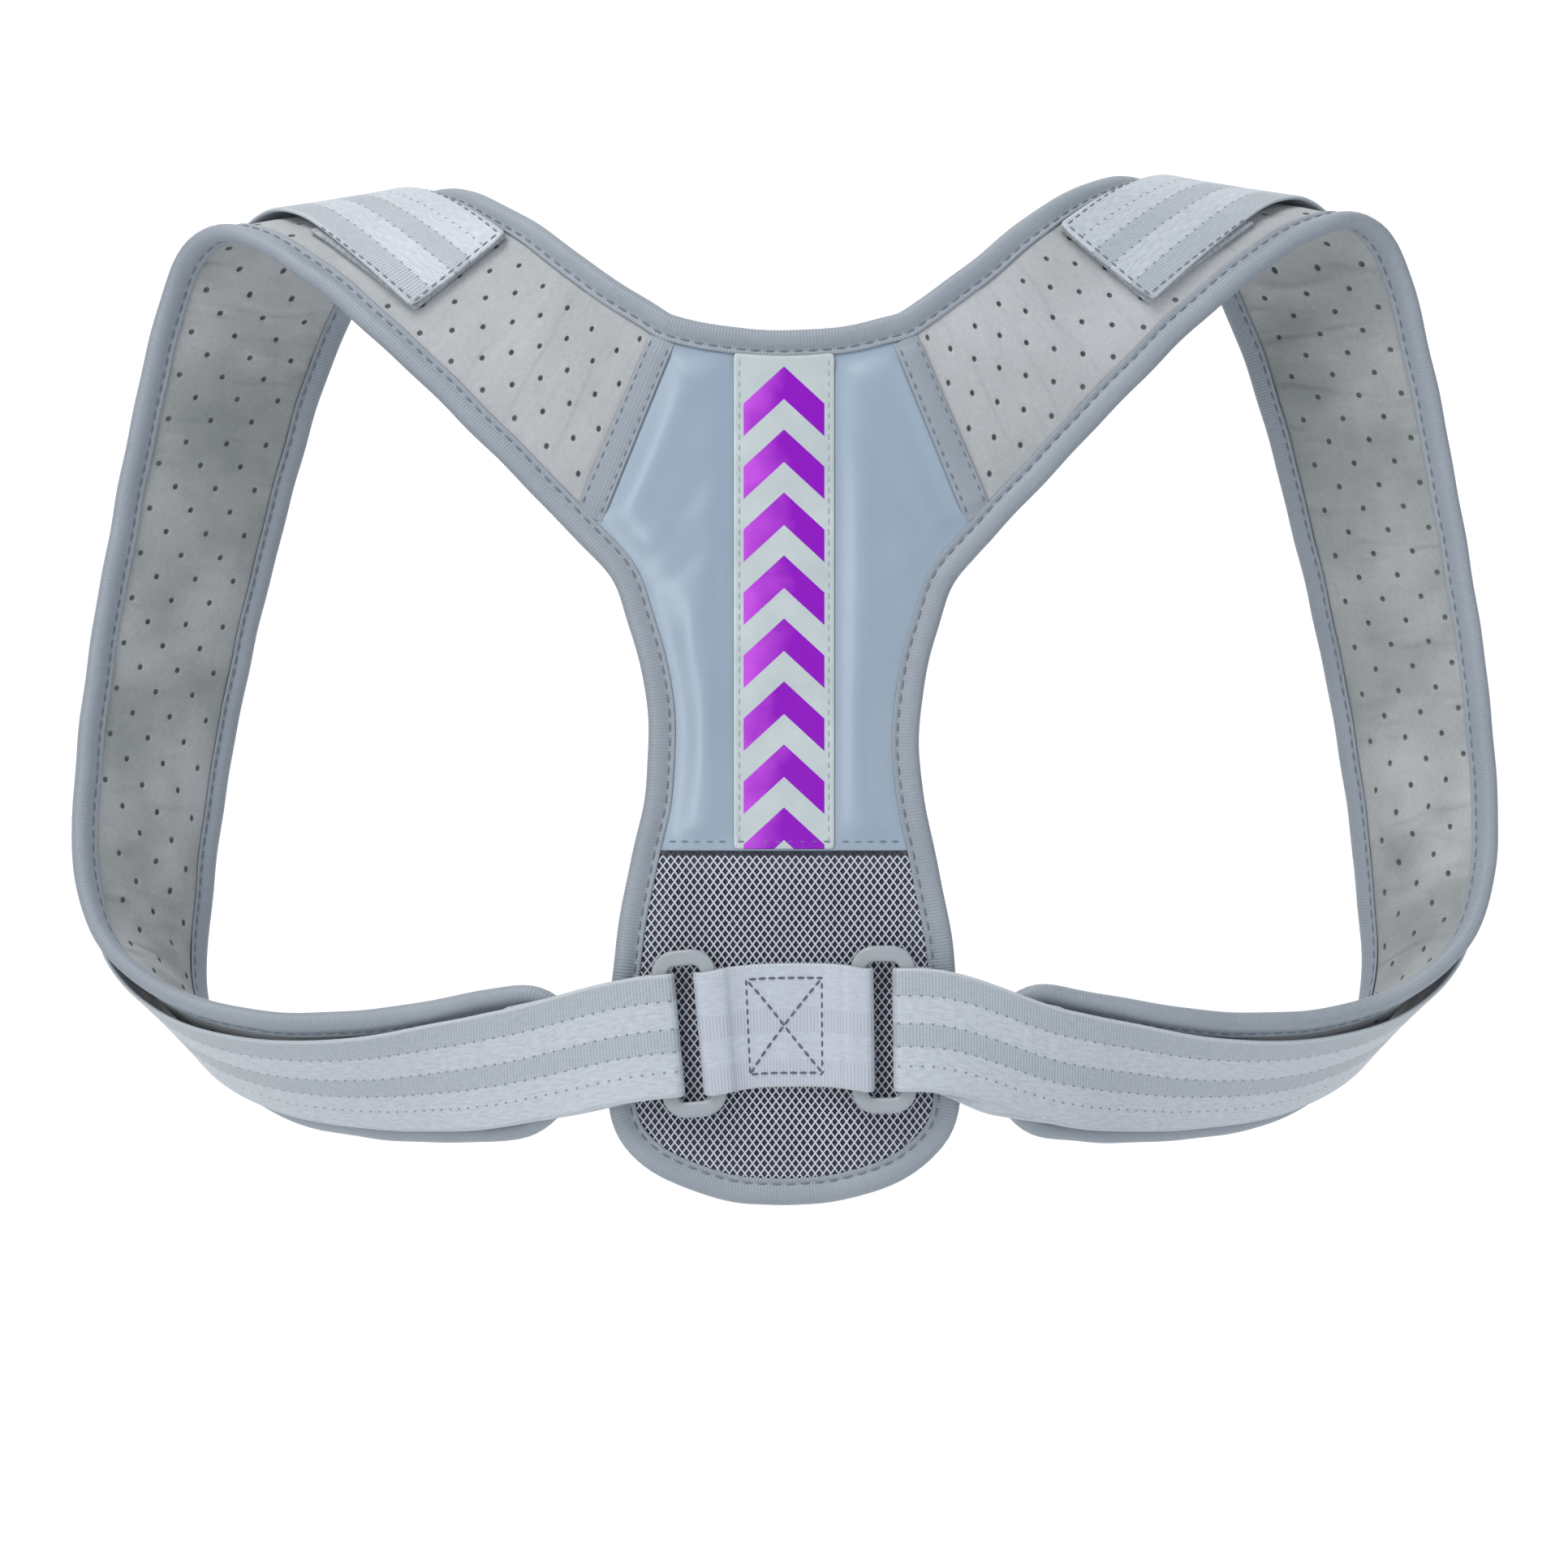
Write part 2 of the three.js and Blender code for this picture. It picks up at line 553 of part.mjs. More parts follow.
function strap(wing) {
  const path = strapPath(wing);
  const half = WEBBING_THICKNESS / 2;
  return sheet(path.length - 1, 2, -half, half, (row, across, height) => {
    const { point, across: direction, out } = path[row];
    return point.clone().addScaledVector(direction, (across * WEBBING_WIDTH) / 2)
      .addScaledVector(out, height);
  });
}

// A rounded rectangle around the origin, as a shape or as a hole
function roundedRectangle(target, width, height, radius) {
  const [w, h] = [width / 2 - radius, height / 2 - radius];
  target.absarc(w, h, radius, 0, Math.PI / 2, false);
  target.absarc(-w, h, radius, Math.PI / 2, Math.PI, false);
  target.absarc(-w, -h, radius, Math.PI, 1.5 * Math.PI, false);
  target.absarc(w, -h, radius, 1.5 * Math.PI, 2 * Math.PI, false);
  target.closePath();
  return target;
}

function buckle(side) {
  const grow = 2 * BUCKLE_BEVEL;
  const outline = roundedRectangle(
    new THREE.Shape(), BUCKLE_WIDTH - grow, BUCKLE_HEIGHT - grow, BUCKLE_CORNER - BUCKLE_BEVEL);
  const slotWidth = BUCKLE_WIDTH - 2 * BUCKLE_BAR + grow;
  const slotHeight = BUCKLE_HEIGHT - 2 * BUCKLE_END + grow;
  outline.holes.push(roundedRectangle(new THREE.Path(), slotWidth, slotHeight, 2 * BUCKLE_BEVEL));
  const body = new THREE.ExtrudeGeometry(outline, {
    depth: BUCKLE_THICKNESS - grow,
    bevelThickness: BUCKLE_BEVEL,
    bevelSize: BUCKLE_BEVEL,
    bevelSegments: 2,
    curveSegments: 4,
  });
  const { middle, up, outwards } = buckleFrame(side);
  const back = new THREE.Vector3(0, -1, 0);
  return bent(body, (p) => middle.clone()
    .addScaledVector(outwards, p.x)
    .addScaledVector(up, p.y)
    .addScaledVector(back, p.z - BUCKLE_THICKNESS / 2 + BUCKLE_BEVEL));
}

// The doubled webbing that joins the buckles: a loop round each inner bar, stitched flat to the
// mesh between them. Its outline is drawn as seen from above and raised to the webbing's width.
function buckleLink() {
  const barX = BUCKLE_OUT - (BUCKLE_WIDTH - BUCKLE_BAR) / 2;
  const barBack = -buckleFrame(SIDES[0]).middle.y;
  const turn = barX + BUCKLE_BAR / 2 - 1;
  const outer = turnRadius + WEBBING_THICKNESS / 2;
  const inner = turnRadius - WEBBING_THICKNESS / 2;
  const flat = LINK_SEWN / 2;
  const loopStart = barX - BUCKLE_BAR / 2;
  const flatBack = PAD + GAP + WEBBING_THICKNESS;
  const outline = new THREE.Shape();
  outline.moveTo(-flat, flatBack - WEBBING_THICKNESS);
  outline.lineTo(flat, flatBack - WEBBING_THICKNESS);
  outline.lineTo(loopStart, barBack - outer);
  outline.absarc(turn, barBack, outer, -Math.PI / 2, Math.PI / 2, false);
  outline.lineTo(loopStart, barBack + outer);
  outline.lineTo(flat, flatBack + WEBBING_THICKNESS);
  outline.lineTo(-flat, flatBack + WEBBING_THICKNESS);
  outline.lineTo(-loopStart, barBack + outer);
  outline.absarc(-turn, barBack, outer, Math.PI / 2, 1.5 * Math.PI, false);
  outline.lineTo(-loopStart, barBack - outer);
  outline.closePath();
  for (const sign of [-1, 1]) {
    const hole = new THREE.Path();
    hole.moveTo(sign * (flat + WEBBING_THICKNESS), flatBack);
    hole.lineTo(sign * loopStart, barBack - inner);
    if (sign > 0) hole.absarc(turn, barBack, inner, -Math.PI / 2, Math.PI / 2, false);
    else hole.absarc(-turn, barBack, inner, 1.5 * Math.PI, Math.PI / 2, true);
    hole.lineTo(sign * loopStart, barBack + inner);
    hole.closePath();
    outline.holes.push(hole);
  }
  const body = new THREE.ExtrudeGeometry(outline, {
    depth: WEBBING_WIDTH,
    steps: 2,
    bevelEnabled: false,
    curveSegments: 6,
  });
  return bent(body, (p) => {
    const up = p.z - WEBBING_WIDTH / 2;
    const share = Math.abs(p.x) / turn;
    const side = SIDES[p.x < 0 ? 0 : 1];
    const lean = THREE.MathUtils.degToRad(side.lean) * smooth(share);
    const x = p.x + side.sign * (Math.sin(lean) * up + side.shift * smooth(share));
    const arch = LINK_ARCH * Math.max(1 - share ** 2, 0) + side.raise * smooth(share);
    return new THREE.Vector3(x, -p.y, up * Math.cos(lean) - BUCKLE_DROP + arch);
  });
}

const wings = SIDES.map(makeWing);
add("yoke_panel", yokePanel(wings), smoothFabric);
add("mesh_panel", meshPanel(), meshFabric);
add("reflective_strip", reflectiveStrip(), reflective);
for (const { name, path } of boundEdge(wings)) {
  add(name, bar(path, BINDING_WIDTH, BINDING_THICKNESS), bindingFabric);
}
for (const wing of wings) {
  const { name } = wing.side;
  add(`${name}_wing`, wingPad(wing), fabric);
  add(`${name}_seam_tape`, seamTape(wing), bindingFabric);
  add(`${name}_hook_patch`, hookPatch(wing), hookTape);
  add(`${name}_strap`, strap(wing), webbing);
  add(`${name}_buckle`, buckle(wing.side), plastic);
}
add("buckle_link", buckleLink(), webbing);

export default part;
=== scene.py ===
# %% [markdown]
# # Dressing a posture corrector
#
# The brace is sewn from knitted foam, coated cloth, a spacer net, binding tape and webbing.
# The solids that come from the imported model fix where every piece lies. This lesson gives each
# of them the surface that a sewing room would: piping that is folded over a raw edge, punched
# holes, stitches of real thread and woven bands. Work is done flat and in millimetres, as a
# cutter works, and is bent into place in metres at the end.

# %% Loading the frame
import math

import bmesh
import bpy
import numpy as np
from mathutils import Matrix, Vector


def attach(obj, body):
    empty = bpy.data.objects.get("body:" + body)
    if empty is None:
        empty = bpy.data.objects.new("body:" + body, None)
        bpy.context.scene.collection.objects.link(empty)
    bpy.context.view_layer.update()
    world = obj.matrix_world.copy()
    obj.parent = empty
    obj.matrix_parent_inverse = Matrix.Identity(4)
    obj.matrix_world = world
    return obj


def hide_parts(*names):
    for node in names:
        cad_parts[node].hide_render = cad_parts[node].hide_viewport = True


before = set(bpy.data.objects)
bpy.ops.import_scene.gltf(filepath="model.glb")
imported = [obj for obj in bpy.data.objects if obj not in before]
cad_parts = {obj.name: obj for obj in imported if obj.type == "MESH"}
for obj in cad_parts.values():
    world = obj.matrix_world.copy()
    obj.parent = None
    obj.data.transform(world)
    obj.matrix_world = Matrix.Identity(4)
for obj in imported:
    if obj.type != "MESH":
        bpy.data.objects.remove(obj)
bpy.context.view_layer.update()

MM = 0.001
BODY = "root"
print("nodes in the frame:", len(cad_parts))

# %% [markdown]
# ## The sizes of the brace
#
# The same named sizes shaped the solids. The edges of each wing are two smooth curves through
# short tables of shares, so the cloth made here lies exactly where its solid lies. The frame's
# meshes could be measured instead, but they are faceted, and a curve stays smooth.

# %% Sizes in millimetres
SPAN = 449
DEPTH = 84
HEIGHT = 318
WAIST_WIDTH = 83.4
FOOT_WIDTH = 108
FOOT_DROP = 112
FOOT_ROUND = 30.5
SHOULDER_WIDTH = 126.6
SHOULDER_RISE = 62
NECK_WIDTH = 69.4
NECK_RISE = 131.7
NECK_DIP = 5
HEM_DROP = 33
PANEL_BOW = 2
PAD = 4
BINDING_WIDTH = 8.5
BINDING_THICKNESS = 5.5
EDGE_GAP = 0.5
GAP = 0.3
TAPE_WIDTH = 9.5
TAPE_THICKNESS = 0.6
STRIP_WIDTH = 31
STRIP_THICKNESS = 0.6
WEBBING_WIDTH = 38
WEBBING_THICKNESS = 1.4
HOOK_THICKNESS = 1.5
HOOK_LENGTH = 50
TAB_START = 88
TAB_SHIFT = 2.5
TIP_RADIUS = 21
TIP_CLEARANCE = 8.5
SEWN_LENGTH = 26
STRAP_SLACK = 1.6
BUCKLE_WIDTH = 20
BUCKLE_HEIGHT = 52
BUCKLE_THICKNESS = 3
BUCKLE_BAR = 5
BUCKLE_END = 5.5
BUCKLE_CORNER = 7.5  # rounder than on the solid, as the photo shows
BUCKLE_OUT = 29
BUCKLE_DROP = 89
LINK_ARCH = 2.5
LINK_SEWN = 22

SIDES = [
    {"name": "left", "sign": -1, "lift": 0, "reach": 0, "raise": 0, "shift": 0, "lean": 5.3},
    {"name": "right", "sign": 1, "lift": 4, "reach": 2, "raise": 1.2, "shift": 1.4, "lean": -0.7},
]
LIFTED_ROWS = 13

# Side edge of the panel: height as a share of its stretch, and flare of the half width
LOWER_EDGE = [(0.13, 0.08), (0.28, 0.35), (0.46, 0.7), (0.66, 0.93), (0.85, 1), (1, 1)]
UPPER_EDGE = [(1, 1), (0.79, 0.49), (0.58, 0.28), (0.26, 0.05), (0, 0)]

# Sections of a wing: out, front and up of its armhole edge, then of its neck edge
WING_SECTIONS = [
    (0.2, 0.04, 0.296, -0.033, 0.05, 0.462),
    (0.385, 0.095, 0.387, 0.093, 0.18, 0.512),
    (0.539, 0.155, 0.455, 0.194, 0.32, 0.543),
    (0.655, 0.225, 0.494, 0.266, 0.475, 0.556),
    (0.739, 0.3, 0.508, 0.342, 0.63, 0.549),
    (0.796, 0.357, 0.495, 0.417, 0.775, 0.518),
    (0.836, 0.405, 0.461, 0.493, 0.87, 0.461),
    (0.892, 0.44, 0.358, 0.572, 0.917, 0.368),
    (0.944, 0.452, 0.227, 0.653, 0.964, 0.231),
    (0.987, 0.44, 0.096, 0.724, 0.988, 0.09),
    (1.01, 0.417, -0.019, 0.772, 0.976, -0.039),
    (1.01, 0.38, -0.117, 0.801, 0.952, -0.159),
    (0.962, 0.333, -0.189, 0.809, 0.905, -0.259),
    (0.84, 0.274, -0.239, 0.753, 0.8, -0.332),
    (0.656, 0.202, -0.265, 0.607, 0.655, -0.382),
    (0.442, 0.12, -0.264, 0.419, 0.476, -0.397),
    (0.248, 0.05, -0.247, 0.239, 0.25, -0.395),
    (0.09, 0, -0.231, 0.09, 0.08, -0.385),
    (0, -0.02, -0.224, 0, -0.01, -0.375),
]

# Heights above the middle of a pad
PAD_FACE = PAD / 2
ON_PAD = PAD_FACE + GAP
ON_BINDING = BINDING_THICKNESS / 2 + EDGE_GAP + WEBBING_THICKNESS / 2
ON_HOOK = ON_PAD + HOOK_THICKNESS + GAP + WEBBING_THICKNESS / 2
WEBBING_PITCH = WEBBING_THICKNESS + GAP
TURN_RADIUS = BUCKLE_THICKNESS / 2 + GAP + WEBBING_THICKNESS / 2
BACK = np.array([0.0, -1.0, 0.0])  # out of the panel, away from the wearer
BAR_MIDDLE = BUCKLE_OUT - (BUCKLE_WIDTH - BUCKLE_BAR) / 2  # from the middle to an inner bar
LINK_TURN = BAR_MIDDLE + BUCKLE_BAR / 2 - 1
print("the brace:", SPAN, "mm wide,", DEPTH, "mm deep,", HEIGHT, "mm tall")

# %% [markdown]
# ## Curves and surfaces to lay cloth on
#
# A wing is a band between two curves, the armhole edge and the neck edge. Straight rulings
# join the two, so any point of the band is given by its distance along the armhole edge, how
# far it lies sideways from the middle, and its height above the pad's middle. These few array
# functions turn such flat places into places in space, for thousands of points at once.

# %% Smooth curves
def unit(vectors):
    return vectors / np.linalg.norm(vectors, axis=-1, keepdims=True)


def smooth(share):
    share = np.clip(share, 0, 1)
    return share * share * (3 - 2 * share)


def curve_through(points, per_span):
    """Points of a centripetal Catmull-Rom curve through the given ones."""
    points = np.asarray(points, float)
    ends = np.vstack([2 * points[0] - points[1], points, 2 * points[-1] - points[-2]])
    share = np.linspace(0, 1, per_span, endpoint=False)[:, None]
    spans = []
    for p0, p1, p2, p3 in zip(ends, ends[1:], ends[2:], ends[3:]):
        d0, d1, d2 = (np.linalg.norm(b - a) ** 0.5 for a, b in ((p0, p1), (p1, p2), (p2, p3)))
        leave = ((p1 - p0) / d0 - (p2 - p0) / (d0 + d1) + (p2 - p1) / d1) * d1
        arrive = ((p2 - p1) / d1 - (p3 - p1) / (d1 + d2) + (p3 - p2) / d2) * d1
        square = 3 * (p2 - p1) - 2 * leave - arrive
        cube = 2 * (p1 - p2) + leave + arrive
        spans.append(p1 + leave * share + square * share**2 + cube * share**3)
    return np.vstack([*spans, points[-1:]])


def lengths(points):
    """Distance from the first point to each point along them."""
    steps = np.linalg.norm(np.diff(points, axis=0), axis=1)
    return np.concatenate([[0], np.cumsum(steps)])


def mirrored(half, signs):
    """A closed line: half of it, then its mirror image on the way back."""
    return np.vstack([half, (half * signs)[::-1][1:-1]])


def at_lengths(points, wanted):
    """The points that lie at the wanted distances along a line of points."""
    reached = lengths(points)
    return np.column_stack([np.interp(wanted, reached, column) for column in points.T])


# %% The back panel
def panel_point(x, z, height):
    x, z, height = np.broadcast_arrays(*(np.asarray(v, float) for v in (x, z, height)))
    bow = PANEL_BOW * (x / (FOOT_WIDTH / 2)) ** 2
    return np.stack([x, bow - PAD_FACE - height, z], axis=-1)


def panel_edge(inset):
    """The panel's right edge in its own plane, from the seam to the middle of the foot."""
    waist, shoulder, foot = WAIST_WIDTH / 2, SHOULDER_WIDTH / 2, FOOT_WIDTH / 2
    points = [(waist + (shoulder - waist) * flare, rise * SHOULDER_RISE)
              for rise, flare in UPPER_EDGE]
    points += [(waist + (foot - waist) * flare, -drop * FOOT_DROP) for drop, flare in LOWER_EDGE]
    for turn in np.radians([18, 36, 54, 72, 90]):
        points.append((foot * math.cos(turn), -FOOT_DROP - FOOT_ROUND * math.sin(turn)))
    curve = curve_through(points, 40)
    run = unit(np.gradient(curve, axis=0))
    return curve + inset * np.column_stack([run[:, 1], -run[:, 0]])


def neck_edge(x, inset):
    share = np.minimum(np.abs(x) / (NECK_WIDTH / 2), 1)
    return NECK_RISE - NECK_DIP * (1 - share**2) - inset


print("panel edge:", round(lengths(panel_edge(0))[-1]), "mm from seam to foot")


# %% The wings
def make_band(side):
    sign, tip_out = side["sign"], FOOT_WIDTH / 2 + TIP_CLEARANCE
    table = np.array(WING_SECTIONS)
    rows = np.arange(1, len(table) + 1)
    lifted = smooth(rows / 2) * (1 - smooth(rows / (LIFTED_ROWS / 2) - 1))
    reached = np.sin(np.pi * np.minimum(rows / LIFTED_ROWS, 1))

    def edge(first, columns):
        out, front, up = table[:, columns].T
        x = tip_out + (SPAN / 2 - tip_out) * out + side["reach"] * reached
        points = np.column_stack([sign * x, front * DEPTH, up * HEIGHT + side["lift"] * lifted])
        return curve_through(np.vstack([first, points]), 60)

    armhole = edge(panel_point(sign * SHOULDER_WIDTH / 2, SHOULDER_RISE, 0), [0, 1, 2])
    neck = edge(panel_point(sign * NECK_WIDTH / 2, NECK_RISE, 0), [3, 4, 5])
    middle_run = unit(np.gradient((armhole + neck) / 2, axis=0))
    return {
        "side": side,
        "sign": sign,
        "at": lengths(armhole),
        "length": lengths(armhole)[-1],
        "armhole": armhole,
        "neck": neck,
        "armhole_run": np.gradient(armhole, axis=0),
        "neck_run": np.gradient(neck, axis=0),
        "width": np.linalg.norm(np.cross(neck - armhole, middle_run), axis=1),
    }


def band_frame(band, distance, lateral):
    """Points of a band, with its directions along, across and outwards there."""
    distance, lateral = np.broadcast_arrays(np.asarray(distance, float), np.asarray(lateral, float))

    def pick(name):
        return np.column_stack([np.interp(distance, band["at"], c) for c in band[name].T])

    width = np.interp(distance, band["at"], band["width"])
    share = (0.5 + lateral / width)[:, None]
    armhole, across = pick("armhole"), pick("neck") - pick("armhole")
    along = pick("armhole_run") * (1 - share) + pick("neck_run") * share
    out = unit(np.cross(along, across)) * band["sign"]
    return armhole + across * share, unit(along), unit(across), out


def on_band(band, distance, lateral, height):
    point, _, _, out = band_frame(band, distance, lateral)
    return point + out * np.asarray(height, float)[..., None]


def half_width(band, distance, inset):
    """Half the width left inside an inset, rounded at the tip."""
    past = np.maximum(distance - (band["length"] - TIP_RADIUS), 0)
    left = np.sqrt(np.maximum((TIP_RADIUS - inset) ** 2 - past**2, 0))
    return np.interp(distance, band["at"], band["width"]) / 2 - TIP_RADIUS + left


def wing_edge(band, inset, start, step):
    """Flat places along the armhole edge, round the tip and back along the neck edge."""
    corner = band["length"] - TIP_RADIUS
    straight = np.arange(start, corner - 1, step)
    turn = np.linspace(0, math.pi / 2, 12)
    distance = np.concatenate([straight, corner + (TIP_RADIUS - inset) * np.sin(turn)])
    half = half_width(band, distance, inset)
    there = np.column_stack([distance, -half])
    back = np.column_stack([distance, half])[::-1]
    return np.vstack([there, back])


bands = {side["name"]: make_band(side) for side in SIDES}
for name, band in bands.items():
    widths = np.round(band["width"][::180])
    print(name, "wing:", round(band["length"]), "mm long,", widths, "mm wide")

# %% [markdown]
# ## Colours and materials
#
# Colours are read off as sRGB hex values, the way a paint chart gives them, and a renderer
# counts in linear light, so one function converts them. One small function adds any node, sets
# it and links it. Patterns are built from it: a soft mottle, because dye and light never lie
# evenly, the flat map of a cloth, and ribs whose spacing is that of real threads.

# %% Colours and nodes
def linear(hex_colour):
    channels = [int(hex_colour[i:i + 2], 16) / 255 for i in (1, 3, 5)]
    linear_ones = [c / 12.92 if c <= 0.04045 else ((c + 0.055) / 1.055) ** 2.4 for c in channels]
    return (*linear_ones, 1)


def add_node(tree, kind, *values, out=0, **named):
    """Adds a node, sets it, links it and returns one of the outputs that it has in use.

    Plain values fill its inputs in order. A name with a capital is an input, any other name is
    a setting. A value is a number, a tuple, a hex colour or another node's output.
    """
    made = tree.nodes.new("ShaderNode" + kind)
    for name in [n for n in named if not n[0].isupper()]:
        setattr(made, name, named.pop(name))
    filled = list(zip([socket for socket in made.inputs if socket.enabled], values))
    filled += [(made.inputs[name.replace("_", " ")], value) for name, value in named.items()]
    for socket, value in filled:
        if isinstance(value, bpy.types.NodeSocket):
            tree.links.new(value, socket)
        else:
            socket.default_value = linear(value) if isinstance(value, str) else value
    return made.outputs[out] if out else [s for s in made.outputs if s.enabled][0]


MIX = {"data_type": "RGBA"}  # makes a Mix node take a share and two colours
print("half of full sRGB is", round(linear("#808080")[0], 2), "of full light")

# %% [markdown]
# ### Patterns
#
# Three patterns come back in most cloths. Noise that reads the object's own coordinates makes
# the mottle, so its blots keep their size on every piece. The map called cloth holds flat
# distances in millimetres, so ribs counted on it bend with the cloth.

# %% Patterns
def mottle(tree, size, detail=2.0):
    """Soft noise over the object, from 0 to 1, with blots of about size millimetres."""
    place = add_node(tree, "TexCoord", out="Object")
    return add_node(tree, "TexNoise", Vector=place, Scale=1 / (size * MM), Detail=detail)


def cloth_map(tree):
    """The place on the cloth, and its distances along and across it, in millimetres."""
    place = add_node(tree, "UVMap", uv_map="cloth")
    parts = add_node(tree, "SeparateXYZ", place).node.outputs
    return place, parts["X"], parts["Y"]


def ribs(tree, distance, pitch):
    """Rounded ribs from 0 to 1, one for each pitch in millimetres."""
    turned = add_node(tree, "Math", distance, 2 * math.pi / pitch, operation="MULTIPLY")
    wave = add_node(tree, "Math", turned, operation="SINE")
    return add_node(tree, "Math", wave, 0.5, 0.5, operation="MULTIPLY_ADD")


# %% [markdown]
# ### Starting and finishing a material
#
# A number that is the same all over a surface sits on the shader's own socket. What varies is
# linked: nearly always a colour, often a relief, and sometimes how polished the surface is.

# %% Starting and finishing a material
def new_material(name, **constants):
    """A material with its shader, whose constants sit on the shader's own sockets."""
    material = bpy.data.materials.new(name)
    material.use_nodes = True
    shader = material.node_tree.nodes["Principled BSDF"]
    for key, value in constants.items():
        shader.inputs[key.replace("_", " ")].default_value = value
    print("material:", name)
    return material, material.node_tree, shader


def surface(tree, shader, colour, height=None, rise=0.0, strength=1.0, roughness=None):
    """Links a colour and, where they are given, a relief of rise millimetres and a roughness."""
    tree.links.new(colour, shader.inputs["Base Color"])
    if roughness is not None:
        tree.links.new(roughness, shader.inputs["Roughness"])
    if height is not None:
        relief = add_node(tree, "Bump", Height=height, Distance=rise * MM, Strength=strength)
        tree.links.new(relief, shader.inputs["Normal"])


# %% [markdown]
# ### Foam laminate
#
# The wings are cut from a thin foam with a fine polyester knit bonded to both faces. Such a
# face is quite matt, with a faint bloom where it is seen edge on. The lining side is a slightly
# greener grey, painted darker as well for the shade that falls on the inner faces, and takes
# long soft wrinkles across its length. Its loops are about 0.5 mm apart, too fine to show
# here, so they are drawn 1.1 mm apart.

# %% Foam laminate
LOOP_PITCH = 1.1
WRINKLE_TURN = 0.6  # radians from the length of the wing
WRINKLES = (0.07, 0.018, 1)  # cells of the noise in each millimetre, across and along a fold


def foam_laminate(name, light, shade, blot, wrinkle):
    material, tree, shader = new_material(
        name, Roughness=0.85, Sheen_Weight=0.12, Sheen_Roughness=0.5)
    tone = add_node(tree, "MapRange", mottle(tree, blot, 3), 0.32, 0.68)
    colour = add_node(tree, "Mix", tone, shade, light, **MIX)
    speck = add_node(tree, "Math", mottle(tree, 1.4, 1), 0.2, 0.9, operation="MULTIPLY_ADD")
    colour = add_node(tree, "Mix", 1.0, colour, speck, blend_type="MULTIPLY", **MIX)
    place, _, _ = cloth_map(tree)
    slanted = add_node(tree, "Mapping", place, Rotation=(0, 0, WRINKLE_TURN), Scale=WRINKLES)
    waves = add_node(tree, "TexNoise", Vector=slanted, Scale=1.0, Detail=2.0)
    fold = add_node(tree, "MapRange", waves, 0.42, 0.6, interpolation_type="SMOOTHERSTEP")
    loops = add_node(tree, "TexVoronoi", Vector=place, Scale=1 / LOOP_PITCH, Randomness=0.6)
    height = add_node(tree, "Math", fold, wrinkle, loops, operation="MULTIPLY_ADD")
    surface(tree, shader, colour, height, 0.1, 0.55)
    return material


wing_knit = foam_laminate("foam_laminate_knit", "#ACAFB3", "#9B9FA2", 50, 6)
# The lining's darker colours are partly painted shade for the inner faces.
lining_with_painted_shade = foam_laminate("foam_laminate_lining_painted_shade", "#A6A9AC", "#848989", 38, 14)
# The foam in the holes is painted darker than it is, as the shade inside them.
punched_hole_shade = foam_laminate("punched_hole_painted_shade", "#63686D", "#53595E", 20, 0)

# %% [markdown]
# ### Coated cloth
#
# The yoke is polyester laminated with a thin polyurethane film. The film is smooth, so it
# shows broad soft highlights on every swelling, over a fine leather-like grain.

# %% Coated cloth
coated_cloth, tree, shader = new_material(
    "polyurethane_coated_cloth", IOR=1.5, Coat_Weight=0.8, Coat_Roughness=0.3)
colour = add_node(tree, "Mix", mottle(tree, 45, 2), "#8092A4", "#92A4B5", **MIX)
polish = add_node(tree, "Math", mottle(tree, 9, 3), 0.16, 0.3, operation="MULTIPLY_ADD")
grain = mottle(tree, 1.6, 4)
surface(tree, shader, colour, grain, 0.06, 0.3, polish)

# %% [markdown]
# ### Spacer net
#
# The foot of the panel is a spacer knit: a pale open net tied over a second layer. The net is
# modelled, hole by hole, so its material needs only the sheen of round yarns. The layer under
# it is painted dark, as the shade in the openings, under the yoke's hem and on the net's rim.

# %% Spacer net
net_yarn, tree, shader = new_material("spacer_net_yarn", Roughness=0.55, Sheen_Weight=0.1)
colour = add_node(tree, "Mix", mottle(tree, 25, 2), "#A8ACBA", "#C6CAD6", **MIX)
surface(tree, shader, colour, mottle(tree, 0.5, 2), 0.1, 0.5)

net_ground_painted_shade, tree, shader = new_material("spacer_net_ground", Roughness=0.9)
colour = add_node(tree, "Mix", mottle(tree, 3, 2), "#33363F", "#4C505A", **MIX)
surface(tree, shader, colour, mottle(tree, 0.6, 2), 0.1, 0.6)

# %% [markdown]
# ### Binding tape
#
# A knitted polyester tape is folded over each raw edge. It is a little glossier than the foam
# laminate along its rounded back, and shows fine ribs across its length. Real ribs are about
# 0.4 mm apart, and are drawn 1 mm apart so that they show.

# %% Binding tape
TAPE_RIB_PITCH = 1.0

binding_tape, tree, shader = new_material(
    "knitted_binding_tape", Roughness=0.5, Sheen_Weight=0.1, Sheen_Roughness=0.4)
colour = add_node(tree, "Mix", mottle(tree, 30, 3), "#838C96", "#979FA8", **MIX)
along = cloth_map(tree)[1]
cross_ribs = ribs(tree, along, TAPE_RIB_PITCH)
share = add_node(tree, "Math", cross_ribs, 0.14, operation="MULTIPLY")
colour = add_node(tree, "Mix", share, colour, "#6E7984", **MIX)
fuzz = mottle(tree, 2.2, 4)
share = add_node(tree, "Math", fuzz, 0.3, operation="MULTIPLY")
colour = add_node(tree, "Mix", share, colour, "#78838E", **MIX)
height = add_node(tree, "Math", fuzz, 2.0, cross_ribs, operation="MULTIPLY_ADD")
surface(tree, shader, colour, height, 0.12, 0.6)
